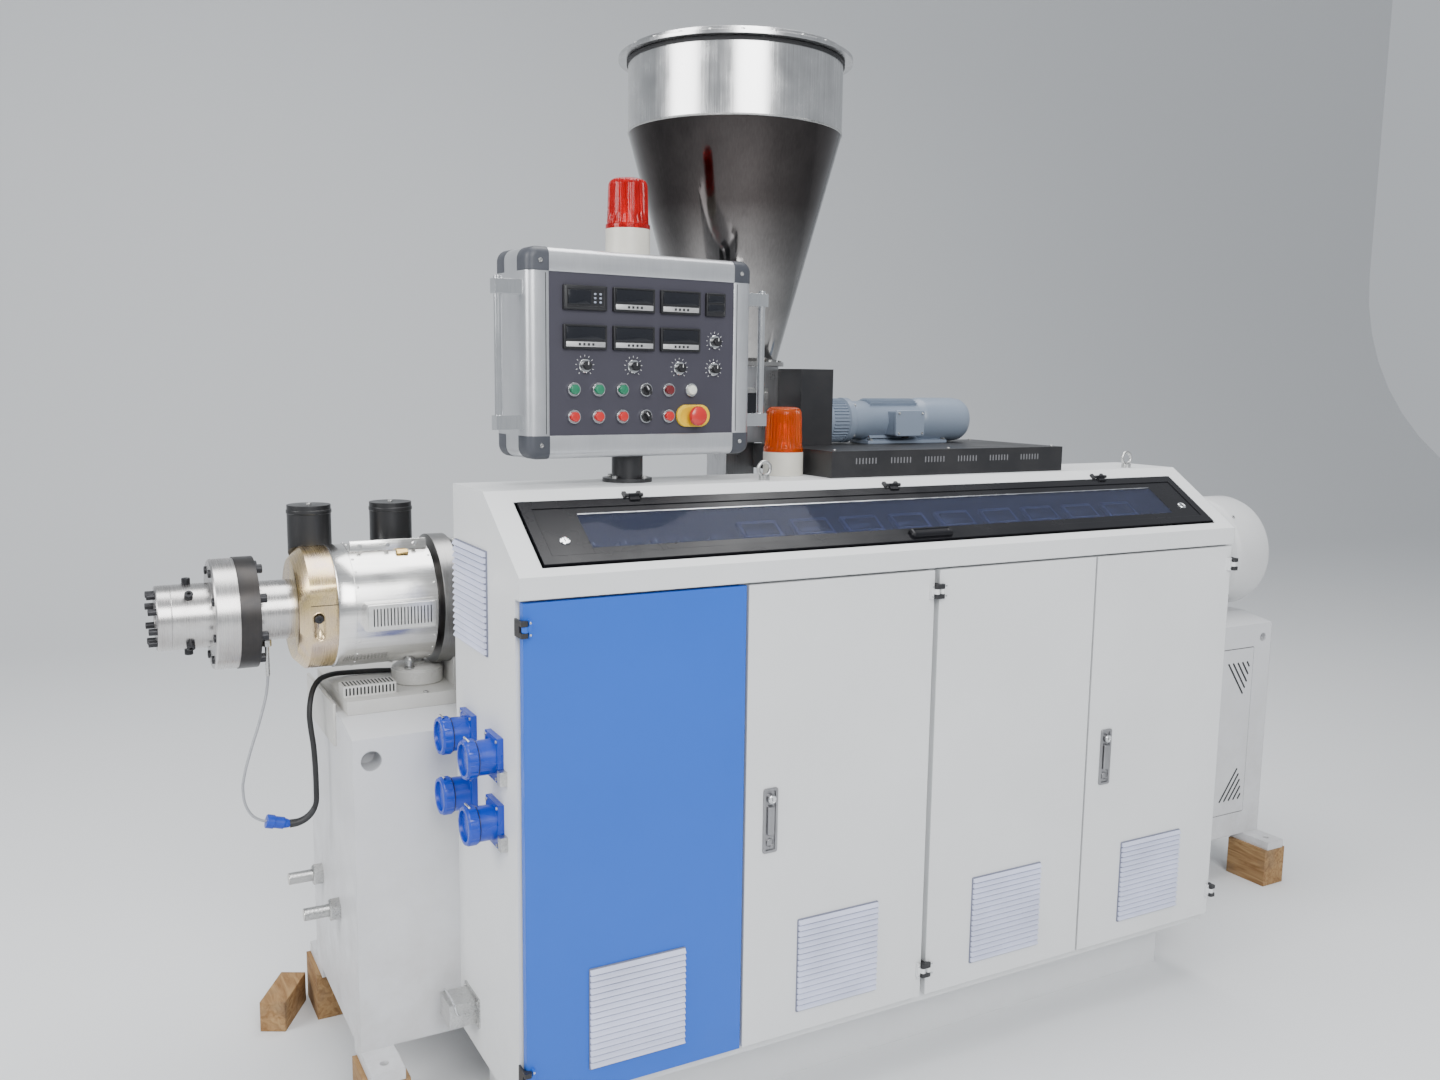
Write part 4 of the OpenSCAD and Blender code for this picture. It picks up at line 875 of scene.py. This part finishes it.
put_rows("feeder_motor", FRONT, (
    ("terminal_box", plate(86, 62, 5, [(0, 0), (0, 38), (-1.6, 38), (-1.6, 46), (0, 48)]), (1180, 472, 1441),
     grey_blue),
    ("terminal_screws", cap_screw(3.2, 2.4, 2.6, 1.2, 12), [(x, 424, z) for x in (1144, 1216)
                                                            for z in (1416, 1466)], zinc)))
put("terminal_gland", hex_head(18, 8), (1180, 446, 1411), dark_collar, "feeder_motor", (0, 0, -1.0))

# Barrel: heater zones under bright stainless covers between machined flanges, with black terminal caps on top.
# The covers are rolled sheet, riveted along their ends and pulled tight by screws through their seam flanges.
dress(finish_of("nitrided_steel", metal, (0.16, 0.155, 0.15), 0.38, 1.0, edge=0.001), "barrel")
sheet_steel = finish_of("cover_stainless", metal, (0.78, 0.77, 0.75), 0.22, 1.0, edge=0.0012, relief=0.00005,
                        Stretch=(0.8, 36.0, 36.0), Streak=0.14)
dress(sheet_steel, "barrel_shrouds")
dress(finish_of("flange_steel", metal, (0.34, 0.335, 0.33), 0.34, 1.0, edge=0.0015, relief=0.00006,
                Stretch=(70.0, 6.0, 6.0), Streak=0.18), "barrel_flanges")
line = np.array([0.0, 637.0, 1050.0])
zones = (-176, 58, 292, 520)
# rivets run round both ends of each cover, with a gap in front and at the back, and none at its connection box
around = np.pi / 2 - np.radians(np.concatenate([np.arange(-80, 71, 15), np.arange(115, 261, 16)]))
spots = np.concatenate([ring(x, 133, around) for zone in zones for x in (zone + 5, zone + 166)])
spots = spots[~((spots[:, 1] < -100) & (np.abs(spots[:, 2] + 3) < 42))]
put("cover_rivets", turned([(2.8, -0.5), (2.8, 0.5), (1.9, 1.3), (0.4, 1.6)], 8), line + spots, sheet_steel,
    "barrel_shrouds", spots * [0, 1.0, 1.0], sharp=60)
put("first_cover_end", turned([(96, 0), (128, 0), (131, 2), (132.4, 4), (132.4, 37), (96, 37)], 96),
    (-213, 637, 1050), sheet_steel, "barrel_shrouds", ALONG)
put("seam_flanges", plate(163, 3.2, 1, [(0, 0), (0, 21), (0.5, 22)], 2),
    [(x + 85.5, y, 1172) for x in zones for y in (583, 589)], sheet_steel, "barrel_shrouds")
put_rows("barrel_shrouds", FRONT, (
    ("seam_screws", hex_head(9, 5), [(x + dx, 581.4, 1184) for x in zones for dx in (24, 83, 142)], zinc),
    ("connection_boxes", plate(143, 55, 4, [(0, 0), (0, 2.2), (0.8, 3)]), [(x + 87.5, 478, 1046.5) for x in zones],
     sheet_steel),
    # the boxes' slots are black plates of painted shade
    ("connection_slots", plate(2.4, 38, 1.1, 0.3, 2),
     [(x + 28 + 7 * i, 475, 1046.5) for x in zones for i in range(18)], slot_shade_and_seam)))
brass = finish_of("latch_brass", metal, (0.60, 0.42, 0.16), 0.3, 1.0, edge=0.0006)
put("seam_latches", plate(26, 14, 3, [(0, 0), (0, 3.2), (1.4, 4.6)], 3), [(x + 112, 571, 1167) for x in zones],
    brass, "barrel_shrouds", (0, -0.5, 0.86))
cap_black = finish_of("cap_moulding", skin, (0.012, 0.012, 0.013), 0.34, edge=0.002, relief=0.0001, Grain=1.2)
dress(cap_black, "terminal_caps")
cap_xs = [-233, *[zone + 119 for zone in zones]]
put_rows("terminal_caps", UP, (
    ("cap_screws_top", cap_screw(6, 3.5, 4.4, 2), [(x, 697, 1265) for x in cap_xs], zinc),
    ("cap_grip_rings", turned([(46, 0), (47.4, 1.5), (47.4, 8), (46, 9.5)], 72), [(x, 697, 1246) for x in cap_xs],
     cap_black)))

# Clamp ring: a two-part steel clamp in yellow zinc, chamfered on the die's side, drawn together by socket
# screws. The plating runs from straw to faint violet, and its turned face keeps the marks of the tool.
turning, given, where = group("turning_marks", Second=(0.5, 0.5, 0.5, 1))
centred = wire(turning, "Mapping", Vector=where, Location=tuple(-at(line) * (0, 1, 1))).outputs[0]
apart = wire(turning, "SeparateXYZ", Vector=centred).outputs
across = wire(turning, "CombineXYZ", _1=apart[1], _2=apart[2]).outputs[0]
reach = wire(turning, "VectorMath", {"operation": "LENGTH"}, _0=across).outputs["Value"]
marks = noise(turning, wire(turning, "CombineXYZ", _0=apart[0], _1=reach).outputs[0], 420.0, 4.0)
cloud = noise(turning, where, 13.0, 4.0, Distortion=0.6)
mixed = blend(turning, span(turning, cloud, 0.38, 0.66), given["Colour"], given["Second"])
result(turning, Colour=scaled(turning, mixed, span(turning, marks, 0.3, 0.7, 0.92, 1.06)),
       Roughness=calc(turning, "ADD", span(turning, marks, start=-0.05, end=0.08), given["Roughness"]), Height=marks)
yellow_zinc = finish_of("yellow_zinc", turning, (0.80, 0.61, 0.30), 0.25, 1.0, edge=0.0015, relief=0.00006,
                        Second=(0.60, 0.48, 0.40, 1))
clamp_loops = turned([(64, 0), (105, 0), (108, 1), (130, 22), (130, 75), (129, 76), (96, 76)], 96)
clamp_loops[..., 1] = np.clip(clamp_loops[..., 1], -116, 116)
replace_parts(put("clamp_halves", clamp_loops, line + [-288, 0, 0], yellow_zinc, "clamp_ring", ALONG), "clamp_ring")
put_rows("clamp_ring", [(0, -1.0, 0), (0, 1.0, 0)], (
    ("clamp_recesses", plate(26, 62, 12.8, [(0, 0), (0, 0.8), (1.4, 1.4), (3.0, 0.6), (3.6, 0.3)], 6), (-250, 1028),
     yellow_zinc),
    ("clamp_screws", cap_screw(8.6, 5, 7, 3.5), (-250, 1044), black_screw),
    ("clamp_seams", plate(52, 1.6, 0.5, [(0, -0.5), (0, 0.15)], 1), (-239, 1072), slot_shade_and_seam)),
    spot=lambda place: [(place[0], y, place[1]) for y in (521, 753)])

# Die head: a bored steel cylinder with its collar, drawn against the neck by a blackened flange and cap screws.
# The steel is turned bright; the socket screws in its end, round its side and in the flange are blackened.
bright = finish_of("turned_steel", turning, (0.56, 0.55, 0.54), 0.26, 1.0, edge=0.0012, relief=0.00005,
                   Second=(0.46, 0.44, 0.43, 1))
dress(bright, "die_adapter")
dress(finish_of("blackened_steel", turning, (0.030, 0.030, 0.032), 0.36, 0.75, edge=0.0015, relief=0.00008,
                Second=(0.05, 0.046, 0.044, 1)), "retaining_flange")
die_turn = [(20, 60), (20, 0), (65, 0), (67, 2), (67, 26), (66.2, 27), (67, 28), (67, 103), (112, 103), (115, 106),
            (115, 150), (60, 150)]
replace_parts(put("die_body", turned(die_turn, 96), line + [-550, 0, 0], bright, "die_head", ALONG), "die_head")
put("probe_fitting", hex_head(17, 14), (-338, 636, 973), zinc, "die_adapter")
put("probe_stem", turned([(3.6, 0), (4.4, 4), (4.4, 62), (5.4, 64), (5.4, 80)], 20), (-338, 636, 908), zinc,
    "die_adapter")
ends = np.radians(np.arange(8) * 45 + 20)
side_turns = np.radians(np.arange(1, 8) * 45 + 180)
for name, head, places, slot, outward in (
        ("die_end_screws", cap_screw(6.9, 15.9, 8, 7), ring(-550, 52, ends), "die_head", LEFT),
        ("die_side_screws", cap_screw(8.4, 14, 7, 4), ring(-490, 66, side_turns), "die_head", ring(0, 1, side_turns)),
        ("flange_cap_screws", cap_screw(9.6, 14, 8.5, 5), ring(-361, 101, ends), "retaining_flange", ALONG),
        ("flange_front_screws", cap_screw(8.5, 4, 7.5, 2.5), ring(-447, 96.2, ends), "die_head", LEFT)):
    put(name, head, line + places, black_screw, slot, outward)
